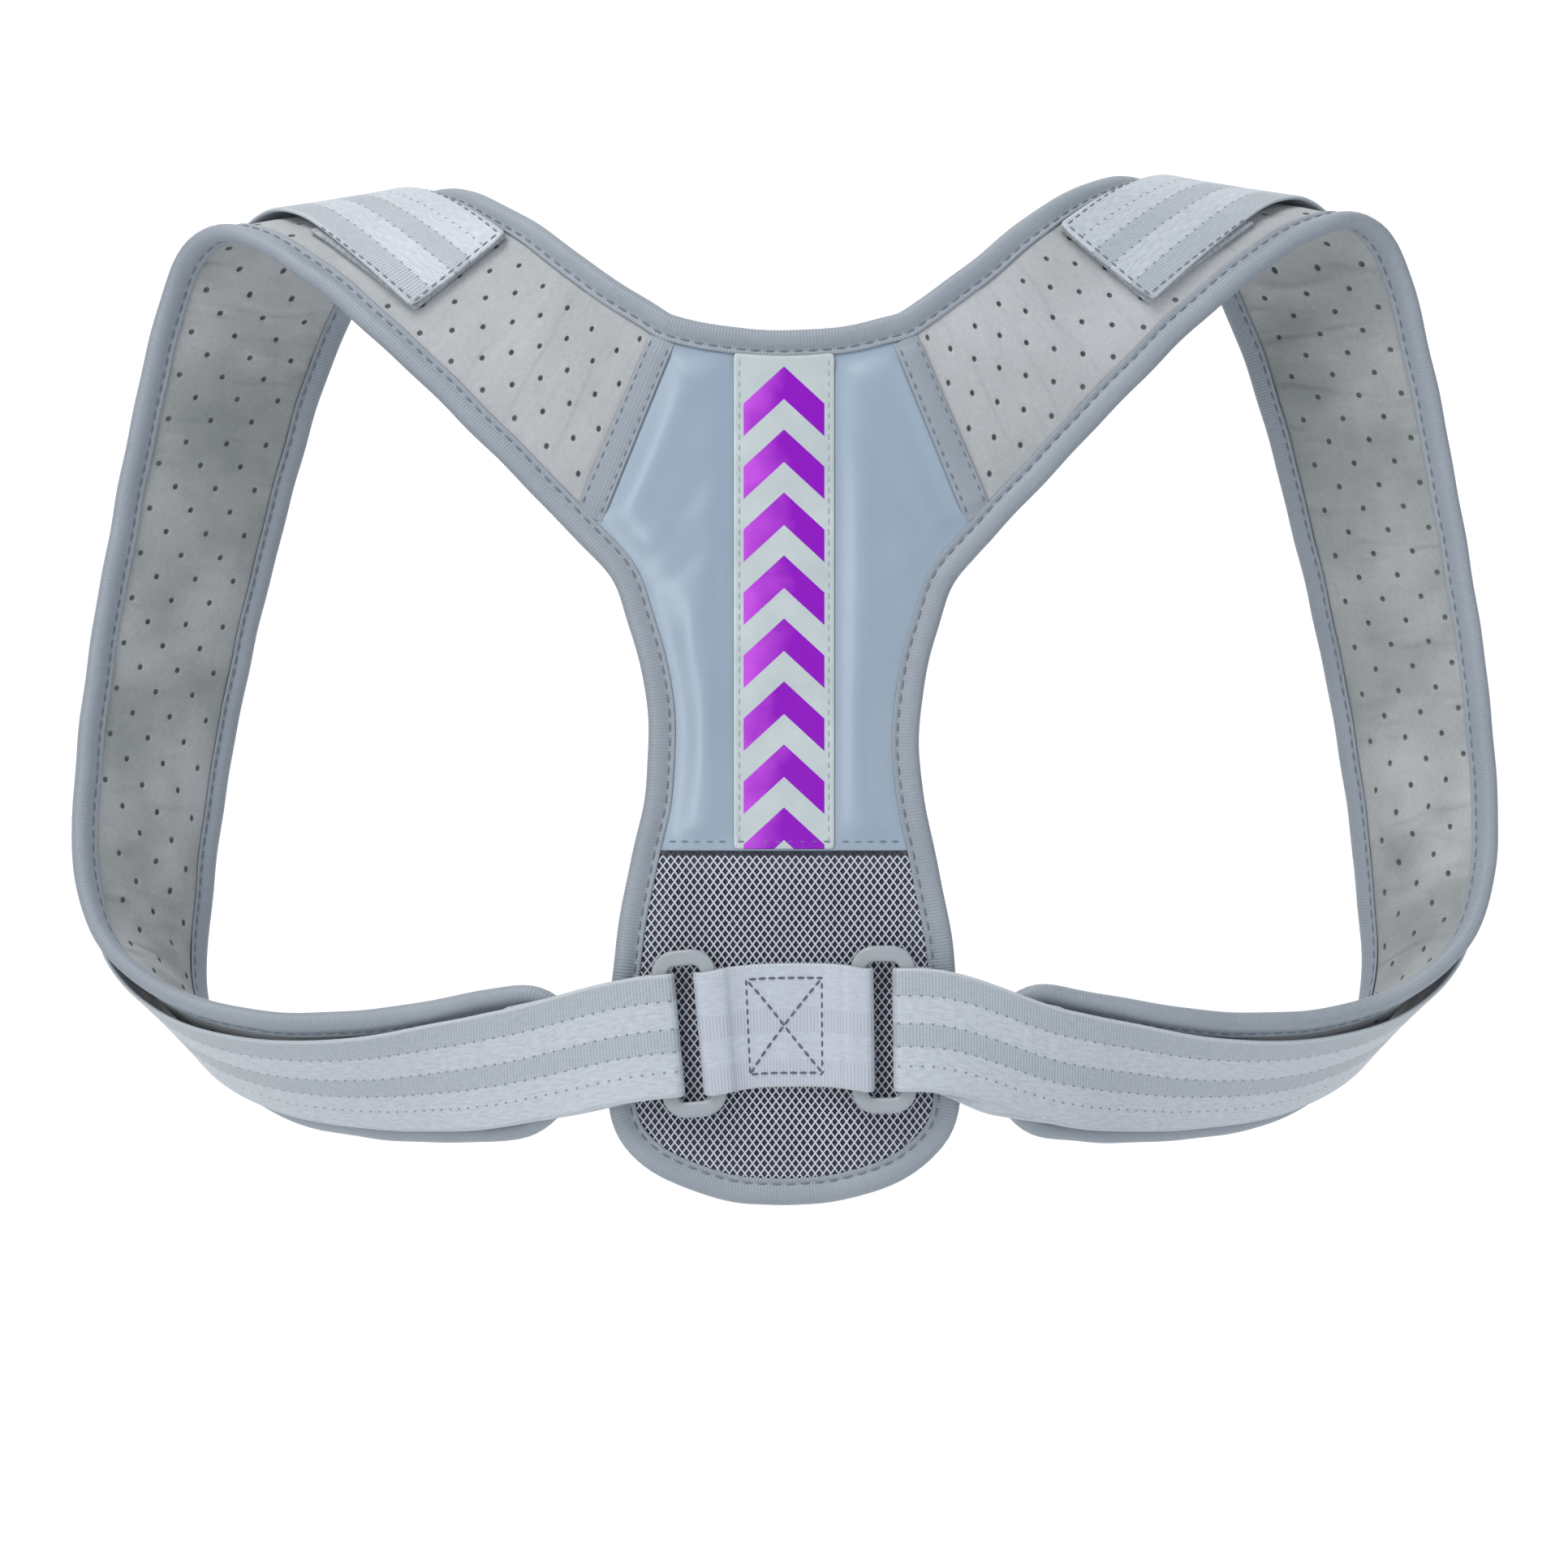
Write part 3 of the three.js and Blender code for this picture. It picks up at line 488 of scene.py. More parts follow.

# %% [markdown]
# ### Webbing
#
# Polyester webbing, 38 mm wide, woven in bands. The satin bands are painted lighter than the
# ribbed bands between them, a painted sheen for their smoother weave, a dotted line of tie-down
# picks runs along each change, and a pale selvedge closes each side. The cloth map gives the
# distance along and across it. Its ribs are 0.55 mm apart, and are drawn 1 mm apart so that
# they show. The doubled link is cut from a plainer webbing with little difference between its
# bands.

# %% Bands and tie lines of a webbing
RIB_PITCH = 1.0
TIE_PITCH = 3.4
TIE_LENGTH = 0.84
TIE_WIDTH = 0.64
TIE_LINES = (-10.5, -2, 5, 11)
SATIN_BANDS = ((-10.5, -2), (5, 17.8))
SELVEDGE = 1.0


def within(tree, across, low, high):
    """1 where a distance lies between two others, and 0 elsewhere."""
    apart = add_node(tree, "Math", across, (low + high) / 2, operation="SUBTRACT")
    apart = add_node(tree, "Math", apart, operation="ABSOLUTE")
    return add_node(tree, "Math", apart, (high - low) / 2, operation="LESS_THAN")


def tie_dots(tree, along, across):
    """1 on the short picks that tie the bands down, and 0 elsewhere."""
    on_line = 0.0
    for line in TIE_LINES:
        near = within(tree, across, line - TIE_WIDTH / 2, line + TIE_WIDTH / 2)
        on_line = add_node(tree, "Math", on_line, near, operation="ADD")
    dot = add_node(tree, "Math", along, TIE_PITCH / 2, operation="PINGPONG")
    dot = add_node(tree, "Math", dot, TIE_LENGTH / 2, operation="LESS_THAN")
    return add_node(tree, "Math", on_line, dot, operation="MULTIPLY")


# %% Webbing
DRAWN_OUT = (0.35, 1.3, 1)  # stretches the noise of the yarns along the webbing


def woven_webbing(name, ribbed_low, ribbed_high, satin_low, satin_high, ties, flecks):
    material, tree, shader = new_material(name, Roughness=0.45, Sheen_Weight=0.08)
    place, along, across = cloth_map(tree)
    satin = 0.0
    for low, high in SATIN_BANDS:
        satin = add_node(tree, "Math", satin, within(tree, across, low, high), operation="ADD")
    pick = ribs(tree, along, RIB_PITCH)
    raised = add_node(tree, "Math", satin, -0.6, 1.0, operation="MULTIPLY_ADD")
    relief = add_node(tree, "Math", pick, raised, operation="MULTIPLY")
    drawn = add_node(tree, "Mapping", place, Scale=DRAWN_OUT)
    yarns = add_node(tree, "TexNoise", Vector=drawn, Scale=0.9, Detail=3.0)
    yarns = add_node(tree, "MapRange", yarns, 0.35, 0.65)
    ribbed_colour = add_node(tree, "Mix", pick, ribbed_low, ribbed_high, **MIX)
    # The satin bands' lighter colours are a painted sheen.
    satin_colour = add_node(tree, "Mix", yarns, satin_low, satin_high, **MIX)
    colour = add_node(tree, "Mix", satin, ribbed_colour, satin_colour, **MIX)
    share = add_node(tree, "Math", yarns, flecks, operation="MULTIPLY")
    colour = add_node(tree, "Mix", share, colour, satin_high, **MIX)
    inner = within(tree, across, SELVEDGE - WEBBING_WIDTH / 2, WEBBING_WIDTH / 2 - SELVEDGE)
    colour = add_node(tree, "Mix", inner, "#B0B7BE", colour, **MIX)
    tie = tie_dots(tree, along, across)
    share = add_node(tree, "Math", tie, ties, operation="MULTIPLY")
    colour = add_node(tree, "Mix", share, colour, "#68727D", **MIX)
    height = add_node(tree, "Math", yarns, 0.5, relief, operation="MULTIPLY_ADD")
    height = add_node(tree, "Math", height, tie, operation="SUBTRACT")
    surface(tree, shader, colour, height, 0.16, 0.6)
    return material


webbing = woven_webbing(
    "polyester_webbing", "#919AA3", "#A5ADB5", "#A7AFB8", "#B7BEC6", 0.8, 0.25)
link_webbing = woven_webbing(
    "plain_polyester_webbing", "#A2A9B5", "#B3BAC6", "#AAB1BD", "#B4BBC7", 0.0, 0.1)

# %% [markdown]
# ### Reflective tape
#
# The strip is a glass-bead film printed with chevrons, a common warning pattern. The film
# has a silvery, slightly greenish sheen, and the print lies on it as a thin violet ink. The ink
# is painted paler towards the left and in soft blots, a painted highlight where the film
# behind it catches the light from the left.

# %% Chevrons
CHEVRON_PITCH = 19.3
CHEVRON_APEX = -19.9
CHEVRONS = 8
FIRST_APEX = CHEVRON_APEX + (CHEVRONS - 1) * CHEVRON_PITCH
CHEVRON_TALL = 10
CHEVRON_SLOPE = 0.92
PRINT_HALF = 12.4
BELOW_STRIP = 20  # pitches counted up from, so that a share of a pitch is never negative

reflective_tape, tree, shader = new_material(
    "glass_bead_reflective_tape", Metallic=0.1, IOR=1.4)
place = add_node(tree, "TexCoord", out="Object")
parts = add_node(tree, "SeparateXYZ", place).node.outputs
x, z = (add_node(tree, "Math", parts[axis], 1 / MM, operation="MULTIPLY") for axis in "XZ")
sideways = add_node(tree, "Math", x, operation="ABSOLUTE")
slanted = add_node(tree, "Math", sideways, CHEVRON_SLOPE, z, operation="MULTIPLY_ADD")
turns = add_node(tree, "Math", slanted, CHEVRON_APEX, operation="SUBTRACT")
turns = add_node(tree, "Math", turns, CHEVRON_PITCH, operation="DIVIDE")
turns = add_node(tree, "Math", turns, BELOW_STRIP, operation="ADD")
in_pitch = add_node(tree, "Math", turns, operation="FRACT")
bare = 1 - CHEVRON_TALL / CHEVRON_PITCH
ink = add_node(tree, "Math", in_pitch, bare, operation="GREATER_THAN")
for distance, limit in ((sideways, PRINT_HALF), (slanted, FIRST_APEX + 1)):
    near = add_node(tree, "Math", distance, limit, operation="LESS_THAN")
    ink = add_node(tree, "Math", ink, near, operation="MULTIPLY")

# %% Reflective tape
film = add_node(tree, "Mix", mottle(tree, 12, 3), "#A9B4B7", "#C6CFD3", **MIX)
# Painted highlight: the violet turns paler towards the left and in soft blots.
lit = add_node(tree, "Math", x, -0.035, mottle(tree, 14, 3), operation="MULTIPLY_ADD")
lit = add_node(tree, "MapRange", lit, 0.45, 1.0)
violet = add_node(tree, "Mix", lit, "#8602B6", "#BC4CD8", **MIX)
colour = add_node(tree, "Mix", ink, film, violet, **MIX)
polish = add_node(tree, "Math", ink, 0.1, 0.26, operation="MULTIPLY_ADD")
surface(tree, shader, colour, mottle(tree, 0.8, 2), 0.05, 0.3, polish)
print("chevrons printed:", CHEVRONS, "each", CHEVRON_TALL, "mm tall")

# %% [markdown]
# ### Hook tape, thread and moulded loops
#
# Hook tape is a dense bed of tiny nylon hooks, which reads as rough and dull. The sewing
# thread is a polyester one, painted darker than the cloth as the shade where it sinks between
# the fibres. A paler one holds the strip, and a heavier, darker one tacks the link. The buckles
# are moulded from acetal, a satin plastic with a very fine spark-eroded texture.

# %% Hook tape, thread and moulded loops
HOOK_PITCH = 1.0

hook_tape, tree, shader = new_material("nylon_hook_tape", Roughness=0.9)
bed = add_node(tree, "TexVoronoi", Vector=cloth_map(tree)[0], Scale=1 / HOOK_PITCH)
colour = add_node(tree, "Mix", bed, "#7F8890", "#A5ACB2", **MIX)
surface(tree, shader, colour, bed, 0.3, 0.8)


def sewing_thread(name, low, high, roughness):
    material, tree, shader = new_material(name, Roughness=roughness)
    surface(tree, shader, add_node(tree, "Mix", mottle(tree, 8, 2), low, high, **MIX))
    return material


# Its dark colours are painted shade, where the thread sinks between the fibres.
thread = sewing_thread("polyester_thread", "#59636F", "#747E89", 0.6)
pale_thread = sewing_thread("pale_polyester_thread", "#8B959C", "#A3ADB3", 0.5)
tacking_thread = sewing_thread("heavy_tacking_thread", "#3F4853", "#59626D", 0.6)

moulded_acetal, tree, shader = new_material(
    "moulded_acetal", Roughness=0.36, IOR=1.48, Coat_Weight=0.1, Coat_Roughness=0.35)
colour = add_node(tree, "Mix", mottle(tree, 20, 2), "#8E959C", "#9AA1A8", **MIX)
surface(tree, shader, colour, mottle(tree, 0.7, 2), 0.03, 0.3)
print("materials:", len(bpy.data.materials))

# %% [markdown]
# ## Cutting cloth
#
# Each cloth piece starts as a flat grid of square cells. It is cut to its outline as with
# scissors: cells that lie outside are deleted, and the corners of the cells that the outline
# crosses are drawn onto it. A boolean would cut cleaner cells, but it leaves slivers that
# crease when the cloth is bent.

# %% Cutting cloth
def flat_grid(x_low, x_high, y_low, y_high, cell):
    """A flat grid of roughly square cells between the given limits, in millimetres."""
    columns = max(round((x_high - x_low) / cell), 1)
    rows = max(round((y_high - y_low) / cell), 1)
    bm = bmesh.new()
    bmesh.ops.create_grid(bm, x_segments=columns, y_segments=rows, size=0.5)
    middle = Vector(((x_low + x_high) / 2, (y_low + y_high) / 2, 0))
    bmesh.ops.scale(bm, vec=(x_high - x_low, y_high - y_low, 1), verts=bm.verts)
    bmesh.ops.translate(bm, vec=middle, verts=bm.verts)
    return bm


def places(bm):
    return np.array([v.co for v in bm.verts], float).reshape(-1, 3)


def inside(points, outline):
    """Whether flat points lie inside a closed outline, by counting the edges to their right."""
    x, y = points[:, :1], points[:, 1:2]
    ax, ay = outline[None, :, 0], outline[None, :, 1]
    bx, by = np.roll(ax, -1, axis=1), np.roll(ay, -1, axis=1)
    crossed = (ay > y) != (by > y)
    rise = np.where(by == ay, 1, by - ay)
    right = x < ax + (bx - ax) * (y - ay) / rise
    return (crossed & right).sum(axis=1) % 2 == 1


def to_outline(points, outline):
    """Distance of flat points to the nearest point of an outline, and which point that is."""
    gaps = np.linalg.norm(points[:, None, :2] - outline[None], axis=2)
    return gaps.min(axis=1), gaps.argmin(axis=1)


def cut_to(bm, outline):
    """Cuts a flat grid to a closed outline."""
    bm.verts.index_update()
    flat = places(bm)
    kept = inside(flat[:, :2], outline)
    outside = [f for f in bm.faces if not any(kept[v.index] for v in f.verts)]
    nearest = to_outline(flat[~kept], outline)[1]
    for vert, place in zip([v for v in bm.verts if not kept[v.index]], nearest):
        vert.co.xy = outline[place]
    bmesh.ops.delete(bm, geom=outside, context="FACES")
    bmesh.ops.remove_doubles(bm, verts=bm.verts, dist=0.02)


# %% [markdown]
# ## Thickening and bending cloth
#
# A cut piece gets its thickness, its holes and its crown while it is still flat, and is bent
# into place last. A Solidify modifier would thicken it as well, but with two faces of its own
# one function can say where each of them goes. Its flat place stays on it as the map.

# %% Thickening and bending cloth
def thicken(bm, low=-PAD_FACE, high=PAD_FACE):
    """Gives a flat grid two faces at the given heights, and closes its rim."""
    bmesh.ops.recalc_face_normals(bm, faces=bm.faces)
    if sum(f.normal.z for f in bm.faces) < 0:
        bmesh.ops.reverse_faces(bm, faces=bm.faces)
    rim = [e for e in bm.edges if e.is_boundary]
    copied = bmesh.ops.duplicate(bm, geom=bm.verts[:] + bm.edges[:] + bm.faces[:])
    top = [g for g in copied["geom"] if isinstance(g, bmesh.types.BMVert)]
    rim += [copied["edge_map"][e] for e in rim]
    fresh = set(copied["geom"])
    bottom = [f for f in bm.faces if f not in fresh]
    bmesh.ops.translate(bm, vec=(0, 0, 1), verts=top)
    bmesh.ops.reverse_faces(bm, faces=bottom)
    bmesh.ops.bridge_loops(bm, edges=rim)
    bmesh.ops.recalc_face_normals(bm, faces=bm.faces)
    for vert in bm.verts:
        vert.co.z = low + (high - low) * vert.co.z


def bend(bm, place):
    """Keeps the flat places as the cloth map, then moves every point to place(x, y, height)."""
    layer = bm.loops.layers.uv.new("cloth")
    for face in bm.faces:
        for loop in face.loops:
            loop[layer].uv = loop.vert.co.xy
    x, y, height = places(bm).T
    for vert, co in zip(bm.verts, place(x, y, height) * MM):
        vert.co = co


# %% Finishing a piece
def smooth_object(name, bm, materials):
    for face in bm.faces:
        face.smooth = True
    mesh = bpy.data.meshes.new(name)
    bm.to_mesh(mesh)
    bm.free()
    made = bpy.data.objects.new(name, mesh)
    bpy.context.scene.collection.objects.link(made)
    for material in materials:
        mesh.materials.append(material)
    return made


def finish_piece(name, bm, materials, node=None, level=0):
    """Makes an object of a mesh, rounds it, hangs it on its body and hides the node it replaces."""
    piece = smooth_object(name, bm, materials)
    if level:
        rounding = piece.modifiers.new("smooth", "SUBSURF")
        rounding.levels = rounding.render_levels = level
    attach(piece, BODY)
    if node:
        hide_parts(node)
    print(name + ":", len(piece.data.polygons), "faces")


# %% [markdown]
# ## Sweeping a section
#
# Piping, webbing and buckles keep one section along a path. A curve with a bevel object would
# sweep it too, but gives little say over its twist, so a grid is wrapped round the path: its
# rows are steps along the path and its columns are places round the section.

# %% Sweeping a section
def swept(points, sides, outs, profile, loop=False):
    """A closed profile of (side, out) places carried along a path, all in millimetres."""
    steps, around = len(points) - 1 + loop, len(profile)
    bm = bmesh.new()
    bmesh.ops.create_grid(bm, x_segments=steps, y_segments=around, size=0.5)
    grid = places(bm)
    row = np.rint((grid[:, 0] + 0.5) * steps).astype(int)
    column = np.rint((grid[:, 1] + 0.5) * around).astype(int)
    reached = lengths(np.vstack([points, points[:1]]))
    flat = np.column_stack([reached[row], profile[column % around, 0]])
    layer = bm.loops.layers.uv.new("cloth")
    bm.verts.index_update()
    for face in bm.faces:
        for corner in face.loops:
            corner[layer].uv = flat[corner.vert.index]
    row, column = row % len(points), column % around
    side, out = profile[column, :1], profile[column, 1:]
    for vert, co in zip(bm.verts, (points[row] + sides[row] * side + outs[row] * out) * MM):
        vert.co = co
    bmesh.ops.remove_doubles(bm, verts=bm.verts, dist=1e-6)
    rims = [e for e in bm.edges if e.is_boundary]
    bmesh.ops.holes_fill(bm, edges=rims, sides=0)
    for edge in rims:
        edge.smooth = False
    bmesh.ops.recalc_face_normals(bm, faces=bm.faces)
    return bm


# %% [markdown]
# ## Wing pads
#
# A wing pad is punched all over with holes of nearly 2 mm on a square lattice of 10.3 mm, set
# at 45 degrees to the wing. That lattice fits a grid of square cells a quarter of its diagonal
# wide: in every second row, each fourth cell holds a hole, two cells on from the row before.
# Such a face is inset to the hole's size, and inset again with a depth, which makes a real pit.
# A texture could paint the holes, but a pit catches its own shade from any side. Its walls and
# floor also take a dark foam colour, painted shade that deepens the pit's own.

# %% Holes
HOLE_LATTICE = 10.3
HOLE_SIZE = 1.75
HOLE_DEPTH = 1.1
CELL = HOLE_LATTICE * math.sqrt(2) / 4
UNDER_BINDING = 7.0  # how far inside the bound edge a pad starts
PINCHED = 1.3  # half the thickness of a pad inside its binding
HOLE_MARGIN = 3.4  # between a pad's edge and the middle of a hole


def punch(bm, chosen, size, depth, cell):
    """Sinks a pit of the given size into each chosen face. Pits get material 1, a painted shade."""
    for face in bm.faces:
        # Faces that look inwards take material 2, the lining, painted darker as shade.
        face.material_index = 0 if face.normal.z > -0.5 else 2
    bmesh.ops.inset_individual(bm, faces=chosen, thickness=(cell - size) / 2, use_even_offset=True)
    walls = bmesh.ops.inset_individual(bm, faces=chosen, thickness=size * 0.06, depth=-depth)
    for face in [*chosen, *walls["faces"]]:
        face.material_index = 1


print("cells of a wing pad:", round(CELL, 2), "mm")

# %% [markdown]
# ### Creases
#
# Foam that is bent over a shoulder buckles inside the bend. Each crease is a long shallow
# trough, a bell curve across and along, and the deepest lie where the wing turns most. They
# are listed one by one, because noise alone would spread them evenly.

# %% Creases
# Distance along the wing, lateral place, direction in degrees from along, length, width and
# depth in millimetres
CREASES = [
    (40, 10, 64, 44, 8, 0.6),
    (62, -6, 80, 40, 7, 0.7),
    (150, -8, 70, 34, 7, 1.0),
    (170, 8, 100, 44, 6, 1.5),
    (188, 0, 84, 44, 5, 1.4),
    (206, 8, 70, 34, 7, 0.9),
    (236, -10, 96, 40, 9, 1.0),
    (268, 8, 84, 36, 10, 0.7),
    (318, 8, 76, 40, 10, 0.9),
    (348, 8, 50, 38, 6, 1.3),
    (366, 4, 58, 50, 6, 1.9),
    (384, -2, 64, 50, 5, 1.7),
    (402, 8, 74, 44, 6, 1.5),
    (424, -4, 92, 40, 6, 1.3),
    (448, 6, 80, 34, 8, 0.8),
    (480, -8, 80, 34, 8, 0.6),
]


def folds(x, y, table):
    """The height at flat places of all the folds in a table together."""
    height = np.zeros_like(x)
    for middle_x, middle_y, degrees, long, wide, tall in table:
        turn = math.radians(degrees)
        along = (x - middle_x) * math.cos(turn) + (y - middle_y) * math.sin(turn)
        beside = (y - middle_y) * math.cos(turn) - (x - middle_x) * math.sin(turn)
        height += tall * np.exp(-(2 * along / long) ** 2 - (2 * beside / wide) ** 2)
    return height


print("creases in a wing:", len(CREASES))


# %% Wing pads
def wing_pad(band):
    outline = wing_edge(band, UNDER_BINDING, GAP / 2, 1.5)
    outline = np.vstack([outline, np.column_stack([
        np.full(12, GAP / 2), np.linspace(outline[-1, 1], outline[0, 1], 14)[1:-1]])])
    half = 8 * CELL
    bm = flat_grid(0, math.ceil(band["length"] / CELL) * CELL, -half, half, CELL)
    cut_to(bm, outline)
    thicken(bm)
    faces = [f for f in bm.faces if abs(f.normal.z) > 0.9 and len(f.verts) == 4]
    centres = np.array([f.calc_center_median()[:2] for f in faces])
    edge = to_outline(centres, outline)[0]
    holes = []
    for face, (x, y), left in zip(faces, centres, edge):
        column, row = int(x // CELL), int(y // CELL)
        if row % 2 == 0 and (column + row) % 4 == 0 and left > HOLE_MARGIN:
            holes.append(face)
    punch(bm, holes, HOLE_SIZE, HOLE_DEPTH, CELL)
    flat = places(bm)
    swell = smooth((to_outline(flat, outline)[0] - 1.5) / 8)

    def place(x, y, height):
        full = PINCHED + (PAD_FACE - PINCHED) * swell
        return on_band(band, x, y, height * full / PAD_FACE - folds(x, y, CREASES) * swell)

    bend(bm, place)
    print("punched", len(holes), "holes")
    return bm


for name, band in bands.items():
    finish_piece(name + "_wing_pad", wing_pad(band), [wing_knit, punched_hole_shade, lining_with_painted_shade],
                 node=name + "_wing", level=1)

# %% [markdown]
# ## The yoke
#
# The yoke is coated cloth over the same foam, quilted by the strip that is sewn down its
# middle: it dips along the strip and swells between strip and binding. A few soft folds run
# from the seams towards the middle, because the shoulders pull there. It could be simulated,
# but a pad of 4 mm moves so little that heights worked out in code follow the photo better.

# %% The outline and folds of the yoke
PUFF = 1.9
YOKE_CELL = 2.4
YOKE_HEM = -HEM_DROP - GAP / 2 - 0.15  # sewn a hair into the net, where the solids keep a gap

# Soft folds: x, z, degrees from horizontal, length, width, height in millimetres
YOKE_FOLDS = [
    (-38, 90, 66, 50, 10, 1.0),
    (-42, 62, 28, 34, 7, 0.9),
    (-36, 50, 42, 30, 6, -0.8),
    (-30, 72, 60, 36, 7, -0.9),
    (-27, 38, 78, 40, 9, 0.9),
    (-25, 2, 88, 60, 9, 0.7),
    (36, 74, -60, 44, 9, -0.6),
    (25, 60, 88, 110, 8, 0.8),
    (42, 56, -50, 30, 7, 0.6),
    (24, -8, 92, 40, 8, 0.4),
]


def yoke_outline():
    band = bands["right"]
    edge = panel_edge(UNDER_BINDING)
    edge = edge[::-1][(edge[::-1][:, 1] > YOKE_HEM)]
    reach = float(half_width(band, 0.0, UNDER_BINDING))
    point, _, across, out = band_frame(band, np.zeros(30), np.linspace(-reach, reach, 30))
    seam = (point - unit(np.cross(across, out)) * GAP)[:, [0, 2]]
    edge = edge[edge[:, 1] < seam[0, 1] - 1]
    x = np.linspace(seam[-1, 0], 0, 24)[1:]
    fall = seam[-1, 1] - neck_edge(0, UNDER_BINDING)
    neck = np.column_stack([x, seam[-1, 1] - fall * (1 - (x / seam[-1, 0]) ** 2)])
    hem = np.column_stack([np.linspace(0, edge[0, 0], 24)[:-1], np.full(23, YOKE_HEM)])
    return mirrored(np.vstack([hem, edge, seam, neck]), [-1, 1])


yoke_line = yoke_outline()
yoke_bound = yoke_line[yoke_line[:, 1] > -HEM_DROP + 1]
print("yoke outline:", len(yoke_line), "points")


# %% The yoke
def yoke_swell(x, z):
    """How full the pad is at a place, and how far the cloth on it puffs up, in millimetres."""
    edge = to_outline(np.column_stack([x, z]), yoke_bound)[0]
    full = PINCHED + (PAD_FACE - PINCHED) * smooth((edge - 1.5) / 7)
    from_strip = np.abs(x) - (STRIP_WIDTH / 2 - 1)
    rise = smooth(from_strip / 9) * smooth((edge - 1) / 12) * smooth((z + HEM_DROP - 1) / 7)
    return full, (PUFF + folds(x, z, YOKE_FOLDS)) * rise


def yoke():
    bm = flat_grid(-60, 60, -HEM_DROP - YOKE_CELL, NECK_RISE, YOKE_CELL)
    cut_to(bm, yoke_line)
    thicken(bm)

    def place(x, z, height):
        full, lifted = yoke_swell(x, z)
        return panel_point(x, z, height * full / PAD_FACE + np.where(height > 0, lifted, 0))

    bend(bm, place)
    return bm


finish_piece("yoke_coated_panel", yoke(), [coated_cloth],
             node="yoke_panel", level=1)

# %% [markdown]
# ## The net foot
#
# A spacer net has rows of openings 2.4 mm apart, each row shifted by half. That is a lattice of
# diamonds, so a grid of square cells is turned by 45 degrees and stretched, cut to the foot's
# outline, and every diamond is punched. The yarn between the pits is the net, and the floors
# are the layer under it, painted dark as the shade in the openings. The net's rim and a narrow
# strip just under the yoke's hem take the same dark material, as painted shade.

# %% The net foot
NET_WIDTH = 2.4
NET_HEIGHT = 3.2
NET_HOLE = 0.62  # share of a diamond that its opening takes
NET_DEPTH = 0.8


def net_outline():
    edge = panel_edge(UNDER_BINDING)
    edge = edge[edge[:, 1] < -HEM_DROP - GAP]
    top = np.column_stack([np.linspace(0, edge[0, 0], 40)[:-1], np.full(39, -HEM_DROP - GAP / 2)])
    right = np.vstack([top, edge])
    right = right[np.r_[True, np.linalg.norm(np.diff(right, axis=0), axis=1) > 1e-6]]
    return mirrored(right, [-1, 1])


def net_foot():
    outline = net_outline()
    low, high = outline.min(axis=0), outline.max(axis=0)
    count = 2 * math.ceil(((high[0] - low[0]) / NET_WIDTH + (high[1] - low[1]) / NET_HEIGHT) / 2)
    bm = flat_grid(-count / 2, count / 2, -count / 2, count / 2, 1)
    turned = Matrix.Diagonal((NET_WIDTH / math.sqrt(2), NET_HEIGHT / math.sqrt(2), 1, 1))
    turned = turned @ Matrix.Rotation(math.radians(45), 4, "Z")
    bmesh.ops.transform(bm, matrix=turned, verts=bm.verts)
    bmesh.ops.translate(bm, vec=(0, (low[1] + high[1]) / 2, 0), verts=bm.verts)
    cut_to(bm, outline)
    thicken(bm)
    front = [f for f in bm.faces if f.normal.z > 0.9 and f.calc_area() > NET_WIDTH]
    strand = (1 - NET_HOLE) * NET_WIDTH / 4
    bmesh.ops.inset_individual(bm, faces=front, thickness=strand, use_even_offset=True)
    bmesh.ops.inset_individual(bm, faces=front, thickness=0.12, depth=-NET_DEPTH)
    # The rim's walls and a strip just under the yoke's hem get the dark material too: painted
    # shade.
    rim = [f for f in bm.faces if abs(f.normal.z) < 0.5 and f.calc_area() > NET_DEPTH]
    fold = [f for f in bm.faces if f.calc_center_median().y > -HEM_DROP - 1.4 and f.normal.z > 0]
    for face in front + rim + fold:
        face.material_index = 1
    swell = smooth((to_outline(places(bm), outline)[0] - 1.5) / 9)

    def place(x, z, height):
        full = PINCHED + (PAD_FACE - PINCHED) * swell
        return panel_point(x, z, height * full / PAD_FACE)

    bend(bm, place)
    print("openings in the net:", len(front))
    return bm


finish_piece("net_foot_panel", net_foot(), [net_yarn, net_ground_painted_shade],
             node="mesh_panel")

# %% [markdown]
# ## Piping
#
# One tape binds the whole brace. It is folded over the raw edge so that it ends in a padded
# roll outside and two narrow lips, one on each face, that are stitched through. Its section is
# drawn once, top half only, mirrored, and carried along the edge. The four stretches are
# parts of one loop, so they meet in line at the seams.

# %% The path of the piping
PATH_INSET = BINDING_WIDTH / 2
PATH_STEP = 2.5
UNEVEN = 0.22  # how far the hand-fed tape strays from its line


